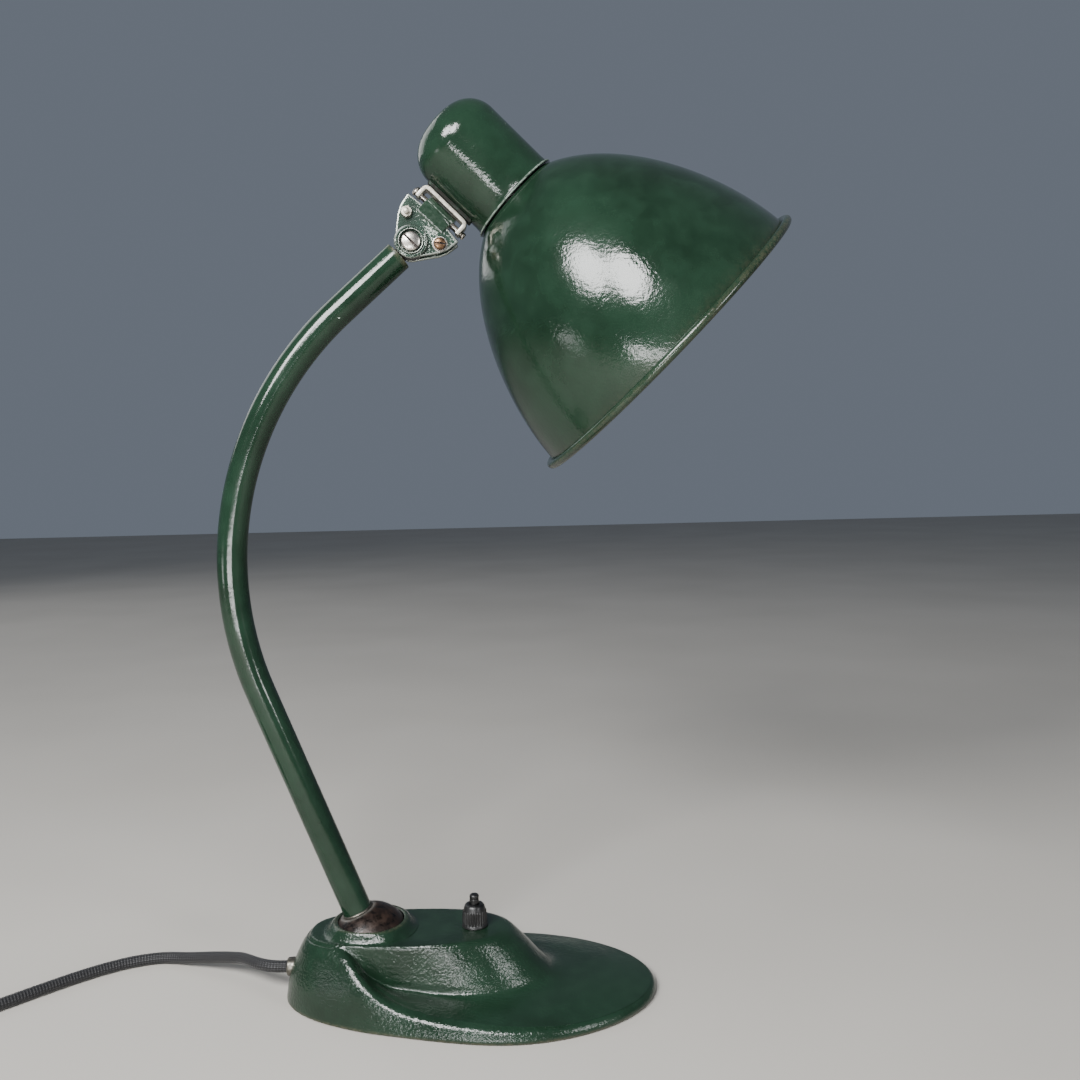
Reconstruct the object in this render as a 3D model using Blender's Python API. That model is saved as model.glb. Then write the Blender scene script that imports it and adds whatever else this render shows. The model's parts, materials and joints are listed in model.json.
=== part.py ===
"""Swing arm desk lamp: cast base, ball-jointed bent arm, pivot clamp and bell shade.

Frame: metres, +Z up, +X towards the shade, origin on the underside of the felt below
the middle of the foot.  The arm hangs in a vertical plane through the ball's centre.
"""
import math

import bmesh
import bpy
import numpy as np
from mathutils import Matrix, Vector

MM = 0.001
GAP = 0.3 * MM

# Foot and housing of the cast base
FOOT_HALF_LENGTH = 103.0 * MM
FOOT_HALF_WIDTH = 57.0 * MM
FOOT_SPREAD = 7.2 * MM
HOUSING_CENTRE_X = -34.0 * MM
HOUSING_HALF_LENGTH = 54.0 * MM
HOUSING_HALF_WIDTH = 24.5 * MM
HOUSING_ROUNDNESS = 0.8
HOUSING_FRONT_SPREAD = 1.9
CASTING_WALL = 4.3 * MM
SKIRT_WALL = 5.0 * MM
CASTING_SIDES = 44
RIM_CLEARANCE = 0.4 * MM
PLATE_INSET = 6.8 * MM
FELT_THICKNESS = 2.0 * MM
PLATE_BOTTOM = FELT_THICKNESS + GAP
PLATE_THICKNESS = 1.2 * MM
PLATE_SCREWS = ((70.0 * MM, 0.0), (-18.0 * MM, 41.0 * MM), (-18.0 * MM, -41.0 * MM))

# Ball joint
BALL_CENTRE = Vector((-55.2 * MM, 0.0, 28.8 * MM))
BALL_RADIUS = 22.2 * MM
BALL_FLAT_RADIUS = 10.0 * MM
SEAT_RADIUS = BALL_RADIUS + 0.35 * MM
LINING_THICKNESS = 0.8 * MM
CUP_THICKNESS = 1.5 * MM
CUP_TOP_ANGLE = -20.0
CUP_BOTTOM_ANGLE = -50.0
LUG_CIRCLE_RADIUS = 28.0 * MM
LUG_ANGLES = (0.0, 120.0, 240.0)

# Switch
SWITCH_X = 2.6 * MM
HOUSING_TOP = 37.0 * MM

# Arm
ARM_YAW = 5.0
ARM_LEAN = 21.0
TUBE_RADIUS = 8.0 * MM
TUBE_BORE_RADIUS = 6.6 * MM
LOWER_STRAIGHT = 154.3 * MM
BEND_RADIUS = 185.3 * MM
BEND_SWEEP = 69.1
UPPER_STRAIGHT = 53.5 * MM
TUBE_START = -13.5 * MM
TUBE_END_SETBACK = 9.3 * MM

# Clamp, measured from the pivot screw: X towards the shade's axis, Z along it
HEAD_PITCH = -45.5
PIVOT_TO_AXIS = 56.6 * MM
PIVOT_TO_RIM = 138.2 * MM
PIN_OFFSET = 22.3 * MM
CLAMP_SCREW_X = 9.7 * MM
CLAMP_SCREW_Z = 12.0 * MM
LEAF_INNER = 4.3 * MM
LEAF_THICKNESS = 1.8 * MM
KNUCKLE_HALF_WIDTH = 4.0 * MM
LOBE_RADIUS = 8.5 * MM

# Head, measured from the rim's plane: Z towards the cap
SHADE_RADIUS = 88.0 * MM
SHADE_DEPTH = 120.0 * MM
SHADE_POWER = 1.6
SHADE_STEPS = 9
SHEET = 1.0 * MM
BEAD_RADIUS = 2.2 * MM
CROWN_Z = 113.2 * MM
CROWN_HOLE_RADIUS = 20.4 * MM
CAP_RADIUS = 25.6 * MM
CAP_CORNER = 18.0 * MM
CAP_TOP_Z = 171.5 * MM
CAP_BOTTOM_Z = 114.7 * MM
BULB_RADIUS = 30.0 * MM
BULB_CENTRE_Z = 57.0 * MM
GLASS_THICKNESS = 0.8 * MM

# Mains cord
CORD_DIAMETER = 6.5 * MM
GLAND_FACE_X = -102.3 * MM
CORD_EXIT_Z = 16.0 * MM
COIL_CENTRE = Vector((-328.0 * MM, -20.0 * MM, 0.0))
COIL_INNER_RADIUS = 25.5 * MM
COIL_OUTER_RADIUS = 45.5 * MM
COIL_HEIGHT = 18.0 * MM
TAIL_TURN_RADIUS = 42.0 * MM
PLUG_RADIUS = 13.0 * MM
CORD_ROUTE = (
    (-102.8, 0.0, 16.0), (-109.6, 0.3, 16.0), (-117.0, 2.9, 15.8), (-124.8, 8.6, 15.1),
    (-132.5, 16.0, 13.6), (-146.0, 24.0, 10.8), (-161.0, 31.5, 7.4), (-175.0, 37.6, 4.6),
    (-188.0, 40.8, 3.5), (-204.5, 36.5, 3.4), (-220.0, 27.0, 3.4), (-234.0, 15.0, 3.4),
    (-246.5, 2.5, 3.4), (-258.5, -10.0, 3.4), (-270.0, -21.5, 3.4), (-280.7, -32.2, 3.4),
)


def clear_scene():
    """Remove every object, so the script can run again in an open file."""
    for item in list(bpy.data.objects):
        bpy.data.objects.remove(item, do_unlink=True)


# ------------------------------------------------------------------ materials
def finish(name, colour, roughness, metallic=0.0, alpha=1.0):
    """One Principled material with a colour, a roughness and a metallic value."""
    material = bpy.data.materials.new(name)
    material.use_nodes = True
    shader = material.node_tree.nodes["Principled BSDF"]
    shader.inputs["Base Color"].default_value = (*colour, 1.0)
    shader.inputs["Roughness"].default_value = roughness
    shader.inputs["Metallic"].default_value = metallic
    shader.inputs["Alpha"].default_value = alpha
    return material


def make_finishes():
    """The lamp's finishes by name."""
    return {
        "enamel": finish("green_enamel", (0.012, 0.055, 0.028), 0.22),
        "iron": finish("dark_iron", (0.035, 0.028, 0.025), 0.35, 0.8),
        "steel": finish("bright_steel", (0.62, 0.61, 0.58), 0.3, 1.0),
        "zinc": finish("zinc_plate", (0.45, 0.45, 0.43), 0.42, 1.0),
        "brass": finish("aged_brass", (0.55, 0.36, 0.17), 0.35, 1.0),
        "bakelite": finish("black_bakelite", (0.012, 0.011, 0.011), 0.3),
        "felt": finish("green_felt", (0.03, 0.06, 0.035), 0.95),
        "leather": finish("joint_leather", (0.16, 0.08, 0.04), 0.8),
        "braid": finish("black_braid", (0.012, 0.012, 0.013), 0.7),
        "porcelain": finish("white_porcelain", (0.8, 0.78, 0.72), 0.25),
        "glass": finish("bulb_glass", (0.9, 0.9, 0.88), 0.05, 0.0, 0.35),
    }


# -------------------------------------------------------------- mesh helpers
def add_object(name, points, faces, material, parent=None, sharp=35.0):
    """Make one object from points and faces, with its faces turned outwards."""
    mesh = bpy.data.meshes.new(name)
    mesh.from_pydata([tuple(p) for p in points], [], faces)
    work = bmesh.new()
    work.from_mesh(mesh)
    bmesh.ops.recalc_face_normals(work, faces=work.faces)
    if work.calc_volume(signed=True) < 0.0:
        bmesh.ops.reverse_faces(work, faces=work.faces)
    work.to_mesh(mesh)
    work.free()
    mesh.materials.append(material)
    mesh.shade_smooth()
    mesh.set_sharp_from_angle(angle=math.radians(sharp))
    item = bpy.data.objects.new(name, mesh)
    item.parent = parent
    bpy.context.collection.objects.link(item)
    return item


def add_frame(name, location, rotation=(0.0, 0.0, 0.0), parent=None):
    """An empty that carries the pieces of one moving body."""
    frame = bpy.data.objects.new(name, None)
    frame.location = location
    frame.rotation_euler = rotation
    frame.parent = parent
    bpy.context.collection.objects.link(frame)
    return frame


def turned(profile, sides):
    """Points and faces of a profile of (radius, height) turned about Z.

    A profile that starts and ends on the axis is closed by its two poles; any other
    profile is a closed section, which makes a ring.
    """
    on_axis = profile[0][0] == 0.0
    rings = profile[1:-1] if on_axis else profile
    turn = [2.0 * math.pi * i / sides for i in range(sides)]
    points = [(r * math.cos(a), r * math.sin(a), z) for r, z in rings for a in turn]
    faces = []
    for k in range(len(rings) - 1 if on_axis else len(rings)):
        low = k * sides
        high = ((k + 1) % len(rings)) * sides
        for i in range(sides):
            j = (i + 1) % sides
            faces.append((low + i, low + j, high + j, high + i))
    if on_axis:
        last = (len(rings) - 1) * sides
        points.append((0.0, 0.0, profile[0][1]))
        points.append((0.0, 0.0, profile[-1][1]))
        for i in range(sides):
            j = (i + 1) % sides
            faces.append((len(points) - 2, j, i))
            faces.append((len(points) - 1, last + i, last + j))
    return points, faces


def turn_piece(name, profile, material, parent, sides=24, axis="Z", at=(0.0, 0.0, 0.0), sharp=35.0):
    """A turned piece whose axis lies along Z, Y or X of its frame."""
    points, faces = turned(profile, sides)
    spin = {
        "Z": Matrix.Identity(4),
        "Y": Matrix.Rotation(math.radians(-90.0), 4, "X"),
        "X": Matrix.Rotation(math.radians(90.0), 4, "Y"),
    }[axis]
    place = Matrix.Translation(at) @ spin
    return add_object(name, [place @ Vector(p) for p in points], faces, material, parent, sharp)


def rod(radius, low, high):
    """Profile of a plain solid cylinder."""
    return [(0.0, low), (radius, low), (radius, high), (0.0, high)]


def rod_group(name, rods, material, sides=16):
    """Separate upright cylinders in one guide: (x, y, radius, low, high) each."""
    points = []
    faces = []
    for x, y, radius, low, high in rods:
        places, rims = turned(rod(radius, low, high), sides)
        start = len(points)
        points += [(px + x, py + y, pz) for px, py, pz in places]
        faces += [tuple(start + index for index in rim) for rim in rims]
    return add_object(name, points, faces, material)


def ring(inner, outer, low, high):
    """Section of a plain washer or sleeve."""
    return [(outer, low), (outer, high), (inner, high), (inner, low)]


def prism(name, outline, low, high, material, parent, plane="XZ"):
    """A flat outline extruded along the axis that its plane leaves out."""
    order = {
        "XZ": lambda a, b, c: (a, c, b),
        "XY": lambda a, b, c: (a, b, c),
    }[plane]
    count = len(outline)
    points = [order(a, b, c) for c in (low, high) for a, b in outline]
    faces = [tuple(range(count)), tuple(range(2 * count - 1, count - 1, -1))]
    for i in range(count):
        j = (i + 1) % count
        faces.append((i, i + count, j + count, j))
    return add_object(name, points, faces, material, parent)


def pipe(name, path, sides_path, outer, inner, sides, material, parent):
    """A hollow tube along a path in the XZ plane; sides_path holds its unit normals."""
    turn = [2.0 * math.pi * i / sides for i in range(sides)]
    points = []
    for radius in (outer, inner):
        for centre, normal in zip(path, sides_path):
            for a in turn:
                offset = normal * (radius * math.cos(a)) + Vector((0.0, radius * math.sin(a), 0.0))
                points.append(centre + offset)
    rings = len(path)
    faces = []
    for shell in (0, 1):
        start = shell * rings * sides
        for k in range(rings - 1):
            for i in range(sides):
                j = (i + 1) % sides
                low = start + k * sides
                faces.append((low + i, low + j, low + sides + j, low + sides + i))
    for k in (0, rings - 1):
        for i in range(sides):
            j = (i + 1) % sides
            low = k * sides
            far = (rings + k) * sides
            faces.append((low + i, low + j, far + j, far + i))
    return add_object(name, points, faces, material, parent)


def cutter_of(item):
    """Turn an object into a guide that the model leaves out."""
    item.hide_render = True
    item.display_type = "WIRE"
    item.hide_set(True)
    return item


def combine(item, tool, operation):
    """Add or subtract a guide with an exact Boolean."""
    modifier = item.modifiers.new(tool.name, "BOOLEAN")
    modifier.operation = operation
    modifier.solver = "EXACT"
    modifier.object = cutter_of(tool)


def arc(centre, radius, start, end, steps):
    """Points (a, b) on an arc, angles in degrees."""
    angles = [math.radians(start + (end - start) * i / steps) for i in range(steps + 1)]
    return [(centre[0] + radius * math.cos(t), centre[1] + radius * math.sin(t)) for t in angles]


# ---------------------------------------------------------------- cast base
# Half sections from the foot's edge (first) to the housing's top (last).
# Beside the housing: distance in from the foot's edge, then out from the top's edge.
SIDE_EDGE = ((0.8, 0.4), (0.0, 2.0), (0.4, 5.5), (1.8, 8.2), (4.5, 9.8), (9.0, 10.6))
SIDE_WALL = ((11.0, 11.0), (8.0, 12.6), (6.2, 17.0), (4.0, 26.0), (2.4, 33.0), (0.9, 36.0), (-0.3, 37.0))
# At the nose: fraction of the way from the foot's edge to the top's edge.
NOSE = (
    (0.05, 0.4), (0.0, 2.0), (0.04, 6.0), (0.10, 10.5), (0.18, 15.0), (0.28, 19.5), (0.40, 24.0),
    (0.52, 27.8), (0.64, 31.0), (0.76, 33.6), (0.87, 35.5), (0.96, 36.7), (1.01, 37.0),
)
NOSE_START = -0.08
NOSE_LENGTH = 0.58
NOSE_POWER = 2.3


def foot_outline(phi, inset=0.0):
    """The foot's egg-shaped outline at the angles phi."""
    along = np.cos(phi)
    width = FOOT_HALF_WIDTH - inset + FOOT_SPREAD * np.tanh(2.5 * along)
    return np.stack([(FOOT_HALF_LENGTH - inset) * along, width * np.sin(phi)], 1)


def top_outline(phi, shrink=0.0):
    """The housing's rounded top outline at the angles phi."""
    def rounded(value):
        return np.sign(value) * np.abs(value) ** HOUSING_ROUNDNESS
    x = HOUSING_CENTRE_X + (HOUSING_HALF_LENGTH - shrink) * rounded(np.cos(phi))
    y = (HOUSING_HALF_WIDTH - shrink) * rounded(np.sin(phi))
    return np.stack([x, y], 1)


def casting_rings(phi, inset, shrink, thin):
    """Rings of points up the casting's wall; thin is how far the heights drop."""
    foot = foot_outline(phi, inset)
    top = top_outline(phi, shrink)
    reach = np.linalg.norm(top - foot, axis=1)
    along = np.cos(phi)
    nose = np.clip((NOSE_START - along) / NOSE_LENGTH, 0.0, 1.0) ** NOSE_POWER
    spread = 1.0 + HOUSING_FRONT_SPREAD * np.clip(along, 0.0, 1.0) ** 3
    rings = []
    for k, (fraction, nose_height) in enumerate(NOSE):
        if k < len(SIDE_EDGE):
            distance, height = SIDE_EDGE[k]
            side = distance * MM / reach
        else:
            distance, height = SIDE_WALL[k - len(SIDE_EDGE)]
            side = 1.0 - distance * MM * spread / reach
        way = side * (1.0 - nose) + fraction * nose
        z = (height * (1.0 - nose) + nose_height * nose) * MM
        z = np.maximum(z - thin * np.minimum(1.0, z / (9.0 * MM)), RIM_CLEARANCE)
        plan = foot + (top - foot) * way[:, None]
        rings.append(np.column_stack([plan, z]))
    return rings


def seat_rings(phi):
    """Rings of the raised boss round the ball, its lip and the seat under it.

    Each ring's points lie straight between the ball's axis and the housing's top edge.
    """
    centre = np.array([BALL_CENTRE.x, BALL_CENTRE.y])
    away = top_outline(phi, CASTING_WALL) - centre
    distance = np.linalg.norm(away, axis=1)
    circle = away / distance[:, None]
    shape = [(22.8, 37.5), (21.3, 41.0), (20.2, 42.5), (18.9, 43.0)]
    for angle in (37.2, 31.0, 24.0, 16.0, 8.0, 0.0):
        turn = math.radians(angle)
        shape.append((SEAT_RADIUS / MM * math.cos(turn),
                      BALL_CENTRE.z / MM + SEAT_RADIUS / MM * math.sin(turn)))
    rings = [np.column_stack([centre + circle * r * MM, np.full(len(phi), z * MM)]) for r, z in shape]
    front = np.clip((distance - 24.0 * MM) / (3.0 * MM), 0.0, 1.0)
    for radius, height, widen, rise in ((23.0, 27.9, 0.0, 0.0), (23.4, 27.4, 1.2, 4.9)):
        plan = centre + circle * ((radius + widen * front) * MM)[:, None]
        rings.append(np.column_stack([plan, (height + rise * front) * MM]))
    return rings


def clear_of_seat(rings):
    """Keep the inner wall outside the ball's seat and its roof low beside the seat."""
    centre = np.array([BALL_CENTRE.x, BALL_CENTRE.y])
    for k, points in enumerate(rings):
        depth = len(rings) - 1 - k
        least = (23.8 + 0.24 * depth) * MM
        away = points[:, :2] - centre
        distance = np.linalg.norm(away, axis=1)
        pushed = np.maximum(distance, least)
        roof = (27.0 - 0.7 * depth) * MM + 3.0 * (pushed - least)
        points[:, :2] = centre + away * (pushed / distance)[:, None]
        points[:, 2] = np.minimum(points[:, 2], np.maximum(roof, 8.0 * MM))
    return rings


def make_casting(materials):
    """The hollow cast base with its lugs, posts and drilled holes."""
    phi = np.linspace(0.0, 2.0 * math.pi, CASTING_SIDES, endpoint=False)
    outer = casting_rings(phi, 0.0, 0.0, 0.0)
    inner = clear_of_seat(casting_rings(phi, SKIRT_WALL, CASTING_WALL, CASTING_WALL)[::2])
    rings = outer + seat_rings(phi) + inner[::-1]
    points = np.concatenate(rings)
    faces = []
    for k in range(len(rings)):
        low = k * CASTING_SIDES
        high = ((k + 1) % len(rings)) * CASTING_SIDES
        for i in range(CASTING_SIDES):
            j = (i + 1) % CASTING_SIDES
            faces.append((low + i, low + j, high + j, high + i))
    casting = add_object("base_casting", points, faces, materials["enamel"], sharp=50.0)
    enamel = materials["enamel"]
    post_foot = PLATE_BOTTOM + PLATE_THICKNESS + GAP
    bosses = [(x, y, 4.0 * MM, post_foot, 8.6 * MM) for x, y in PLATE_SCREWS]
    bosses += [(x, y, 3.25 * MM, 9.5 * MM, 33.5 * MM if y == 0.0 else 28.5 * MM)
               for x, y in lug_places()]
    combine(casting, rod_group("casting_bosses", bosses, enamel), "UNION")
    holes = [(x, y, 1.75 * MM, 3.0 * MM, 8.0 * MM) for x, y in PLATE_SCREWS]
    holes += [(x, y, 1.75 * MM, 9.0 * MM, 20.0 * MM) for x, y in lug_places()]
    holes += [(SWITCH_X, 0.0, 4.1 * MM, 30.0 * MM, 39.0 * MM)]
    combine(casting, rod_group("casting_holes", holes, enamel, 14), "DIFFERENCE")
    stepped = [(0.0, -114.0 * MM), (5.8 * MM, -114.0 * MM), (5.8 * MM, -99.2 * MM),
               (4.9 * MM, -99.2 * MM), (4.9 * MM, -88.0 * MM), (0.0, -88.0 * MM)]
    bore = turn_piece("gland_bore", stepped, enamel, None, 18, "X",
                      (0.0, 0.0, CORD_EXIT_Z))
    combine(casting, bore, "DIFFERENCE")


def lug_places():
    """Centres of the three lugs round the ball."""
    places = []
    for angle in LUG_ANGLES:
        turn = math.radians(angle)
        places.append((BALL_CENTRE.x + LUG_CIRCLE_RADIUS * math.cos(turn),
                       BALL_CENTRE.y + round(LUG_CIRCLE_RADIUS * math.sin(turn), 7)))
    return places


def make_underside(materials):
    """The felt, the steel bottom plate and the plate's three screws."""
    phi = np.linspace(0.0, 2.0 * math.pi, 40, endpoint=False)
    outline = [tuple(p) for p in foot_outline(phi, PLATE_INSET)]
    felt = prism("felt_pad", outline, 0.0, FELT_THICKNESS, materials["felt"], None, "XY")
    plate = prism("bottom_plate", outline, PLATE_BOTTOM, PLATE_BOTTOM + PLATE_THICKNESS,
                  materials["zinc"], None, "XY")
    for number, (x, y) in enumerate(PLATE_SCREWS, 1):
        window = turn_piece(f"felt_window_{number}", rod(4.6 * MM, -1.0 * MM, 3.0 * MM),
                            materials["felt"], None, 14, at=(x, y, 0.0))
        combine(felt, window, "DIFFERENCE")
        bore = turn_piece(f"plate_bore_{number}", rod(1.9 * MM, 1.0 * MM, 5.0 * MM),
                          materials["zinc"], None, 12, at=(x, y, 0.0))
        combine(plate, bore, "DIFFERENCE")
        make_screw(f"plate_screw_{number}", 3.4, 1.3, 1.5, 5.2, materials["steel"], None,
                   (x, y, PLATE_BOTTOM - GAP), "Z")


def make_screw(name, head_radius, head_height, shank_radius, shank_length, material, parent, at, axis,
               slot_width=0.9, flip=False):
    """A slotted screw; at is the middle of its head's seat and the shank runs along +axis."""
    sign = -1.0 if flip else 1.0
    profile = [
        (0.0, -head_height), (head_radius * 0.85, -head_height), (head_radius, -head_height * 0.7),
        (head_radius, 0.0), (shank_radius, 0.0), (shank_radius, shank_length), (0.0, shank_length),
    ]
    profile = [(r * MM, sign * z * MM) for r, z in profile]
    screw = turn_piece(name, profile, material, parent, 12, axis, at)
    depth = head_height * 0.45
    across = head_radius + 1.0
    low = sign * (-head_height - 0.5) * MM
    high = sign * (-head_height + depth) * MM
    half = slot_width / 2.0 * MM
    outline = [(-half, -across * MM), (half, -across * MM), (half, across * MM), (-half, across * MM)]
    slot = prism(f"{name}_slot", outline, min(low, high), max(low, high), material, parent, "XY")
    spin = {"Z": Matrix.Identity(4), "Y": Matrix.Rotation(math.radians(-90.0), 4, "X")}[axis]
    slot.data.transform(Matrix.Translation(at) @ spin @ Matrix.Rotation(math.radians(25.0), 4, "Z"))
    combine(screw, slot, "DIFFERENCE")


def make_pressure_plate(materials):
    """The eared steel plate that pushes the cup up against the ball, and its screws."""
    steps = 48
    outline = []
    for i in range(steps):
        angle = 360.0 * i / steps
        away = min(abs((angle - lug + 180.0) % 360.0 - 180.0) for lug in LUG_ANGLES)
        ear = math.exp(-((away / 13.0) ** 4))
        radius = (19.3 + 12.7 * ear) * MM
        turn = math.radians(angle)
        outline.append((BALL_CENTRE.x + radius * math.cos(turn), radius * math.sin(turn)))
    plate = prism("pressure_plate", outline, 7.4 * MM, 9.2 * MM, materials["steel"], None, "XY")
    middle = turn_piece("pressure_plate_window", rod(13.5 * MM, 6.0 * MM, 10.0 * MM),
                        materials["steel"], None, 28, at=(BALL_CENTRE.x, 0.0, 0.0))
    combine(plate, middle, "DIFFERENCE")
    for number, (x, y) in enumerate(lug_places(), 1):
        bore = turn_piece(f"pressure_bore_{number}", rod(1.9 * MM, 6.0 * MM, 10.0 * MM),
                          materials["steel"], None, 12, at=(x, y, 0.0))
        combine(plate, bore, "DIFFERENCE")
        make_screw(f"pressure_screw_{number}", 2.9, 2.0, 1.5, 10.0, materials["steel"], None,
                   (x, y, 7.1 * MM), "Z")


def make_switch(materials):
    """The push switch: body under the housing's top, knurled collar and button."""
    bush_radius, bore_radius = 3.7 * MM, 2.95 * MM
    body = [(0.0, 16.0 * MM), (9.0 * MM, 16.0 * MM), (9.0 * MM, 32.2 * MM), (bush_radius, 32.2 * MM),
            (bush_radius, 46.0 * MM), (bore_radius, 46.0 * MM), (bore_radius, 36.0 * MM), (0.0, 36.0 * MM)]
    place = (SWITCH_X, 0.0, 0.0)
    turn_piece("switch_body", body, materials["bakelite"], None, 18, at=place)
    low, top = HOUSING_TOP + GAP, 49.4 * MM
    collar = [(6.9 * MM, low), (6.7 * MM, 41.0 * MM), (6.1 * MM, 47.0 * MM), (5.2 * MM, top),
              (bore_radius, top), (bore_radius, 46.4 * MM), (4.0 * MM, 46.4 * MM), (4.0 * MM, low)]
    turn_piece("switch_collar", collar, materials["bakelite"], None, 20, at=place)
    button_frame = add_frame("button_travel", (SWITCH_X, 0.0, 55.0 * MM))
    button = [(0.0, -15.0 * MM), (2.6 * MM, -15.0 * MM), (2.6 * MM, -0.7 * MM),
              (2.0 * MM, 0.0), (0.0, 0.0)]
    turn_piece("switch_button", button, materials["bakelite"], button_frame, 16)


def make_gland(materials):
    """The metal bush in the nose and the end of the cord that it holds."""
    bush = [(5.5 * MM, GLAND_FACE_X), (5.5 * MM, -99.6 * MM), (4.6 * MM, -99.6 * MM),
            (4.6 * MM, -92.0 * MM), (3.6 * MM, -92.0 * MM), (3.6 * MM, GLAND_FACE_X)]
    height = (0.0, 0.0, CORD_EXIT_Z)
    turn_piece("cord_gland", bush, materials["zinc"], None, 18, "X", height)
    turn_piece("cord_inner_end", rod(CORD_DIAMETER / 2.0, GLAND_FACE_X, -84.0 * MM), materials["braid"],
               None, 12, "X", height)


# --------------------------------------------------------------------- cord
def smooth_route(route, spacing):
    """Points at even spacing on a smooth curve through the route's own points."""
    knots = np.array(route) * MM
    ends = np.vstack([2.0 * knots[0] - knots[1], knots, 2.0 * knots[-1] - knots[-2]])
    t = np.linspace(0.0, 1.0, 24, endpoint=False)[:, None]
    spans = []
    for a, b, c, d in zip(ends, ends[1:], ends[2:], ends[3:]):
        spans.append(0.5 * (2.0 * b + (c - a) * t + (2.0 * a - 5.0 * b + 4.0 * c - d) * t ** 2
                            + (3.0 * b - a - 3.0 * c + d) * t ** 3))
    fine = np.vstack(spans + [knots[-1:]])
    length = np.append(0.0, np.cumsum(np.linalg.norm(np.diff(fine, axis=0), axis=1)))
    count = int(round(length[-1] / spacing)) + 1
    even = np.linspace(0.0, length[-1], count)
    return np.stack([np.interp(even, length, fine[:, k]) for k in range(3)], 1)


def make_cord_tube(name, points, radius, resolution, material, parent=None):
    """A plain round cord along the given points."""
    curve = bpy.data.curves.new(name, "CURVE")
    curve.dimensions = "3D"
    curve.bevel_depth = radius
    curve.bevel_resolution = resolution
    curve.use_fill_caps = True
    curve.render_resolution_u = 0
    spline = curve.splines.new("POLY")
    spline.points.add(len(points) - 1)
    for knot, place in zip(spline.points, points):
        knot.co = (*place, 1.0)
    curve.materials.append(material)
    item = bpy.data.objects.new(name, curve)
    item.parent = parent
    bpy.context.collection.objects.link(item)


def make_mains_cord(materials):
    """The cord's free run, its stored coil and the plug."""
    route = smooth_route(CORD_ROUTE, 2.0 * CORD_DIAMETER)
    make_cord_tube("mains_cord", route, CORD_DIAMETER / 2.0, 2, materials["braid"])
    section = ring(COIL_INNER_RADIUS, COIL_OUTER_RADIUS, 0.2 * MM, COIL_HEIGHT)
    turn_piece("cord_coil", section, materials["braid"], None, 32, at=COIL_CENTRE)
    rear = COIL_CENTRE.x - 28.0 * MM
    axis = (rear, COIL_CENTRE.y - TAIL_TURN_RADIUS, PLUG_RADIUS + GAP)
    body = [(0.0, 0.0), (5.0, 0.0), (6.2, -12.0), (9.0, -17.0), (13.0, -22.0), (13.0, -36.0),
            (12.0, -38.0), (0.0, -38.0)]
    body = [(r * MM, z * MM) for r, z in body]
    turn_piece("plug_body", body, materials["bakelite"], None, 20, "X", axis)
    for number, side in enumerate((-9.5 * MM, 9.5 * MM), 1):
        pin = [(0.0, -57.0 * MM), (1.4 * MM, -57.0 * MM), (2.0 * MM, -56.0 * MM),
               (2.0 * MM, -38.3 * MM), (0.0, -38.3 * MM)]
        turn_piece(f"plug_pin_{number}", pin, materials["brass"], None, 12, "X",
                   (axis[0], axis[1] + side, axis[2]))


# --------------------------------------------------------------- ball joint
def sphere_zone(radius, start, end, steps):
    """Points (radius, height) on a sphere between two latitudes in degrees."""
    return arc((0.0, 0.0), radius, start, end, steps)


def make_ball_joint(materials, pan):
    """The pressure cup with its lining, and the drilled ball leaning with the arm."""
    top, bottom = CUP_TOP_ANGLE, CUP_BOTTOM_ANGLE
    inner = SEAT_RADIUS
    lining = inner + LINING_THICKNESS
    turn_piece("cup_lining", sphere_zone(lining, bottom, top, 3) + sphere_zone(inner, top, bottom, 3),
               materials["leather"], pan, 32)
    cup = lining + GAP
    turn_piece("pressure_cup",
               sphere_zone(cup + CUP_THICKNESS, bottom, top, 3) + sphere_zone(cup, top, bottom, 3),
               materials["steel"], pan, 32)
    edge = math.degrees(math.acos(BALL_FLAT_RADIUS / BALL_RADIUS))
    flat = BALL_RADIUS * math.sin(math.radians(edge))
    profile = sphere_zone(BALL_RADIUS, -edge, edge, 10)
    profile += [(8.3 * MM, flat), (8.3 * MM, -14.0 * MM), (6.5 * MM, -14.0 * MM), (6.5 * MM, -flat)]
    ball = turn_piece("ball", profile, materials["iron"], pan, 26)
    ball.rotation_euler = (0.0, math.radians(-ARM_LEAN), 0.0)
    ferrule = turn_piece("tube_ferrule", ring(8.3 * MM, 9.7 * MM, flat + GAP, flat + 1.8 * MM),
                         materials["steel"], pan, 24)
    ferrule.rotation_euler = (0.0, math.radians(-ARM_LEAN), 0.0)


# ---------------------------------------------------------------------- arm
def arm_point(distance):
    """Centre line of the arm from the ball's centre: point, direction and side normal."""
    lean = math.radians(-ARM_LEAN)
    sweep = math.radians(BEND_SWEEP)
    bend_length = BEND_RADIUS * sweep
    turned_by = min(max(distance - LOWER_STRAIGHT, 0.0) / bend_length, 1.0) * sweep
    start = Vector((math.sin(lean), 0.0, math.cos(lean)))
    side = Vector((start.z, 0.0, -start.x))
    heading = lean + turned_by
    direction = Vector((math.sin(heading), 0.0, math.cos(heading)))
    normal = Vector((direction.z, 0.0, -direction.x))
    point = start * min(distance, LOWER_STRAIGHT)
    point += (side - normal) * BEND_RADIUS
    point += direction * max(distance - LOWER_STRAIGHT - bend_length, 0.0)
    return point, direction, normal


def arm_length():
    """Length of the centre line from the ball's centre to the pivot screw."""
    return LOWER_STRAIGHT + BEND_RADIUS * math.radians(BEND_SWEEP) + UPPER_STRAIGHT


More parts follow.
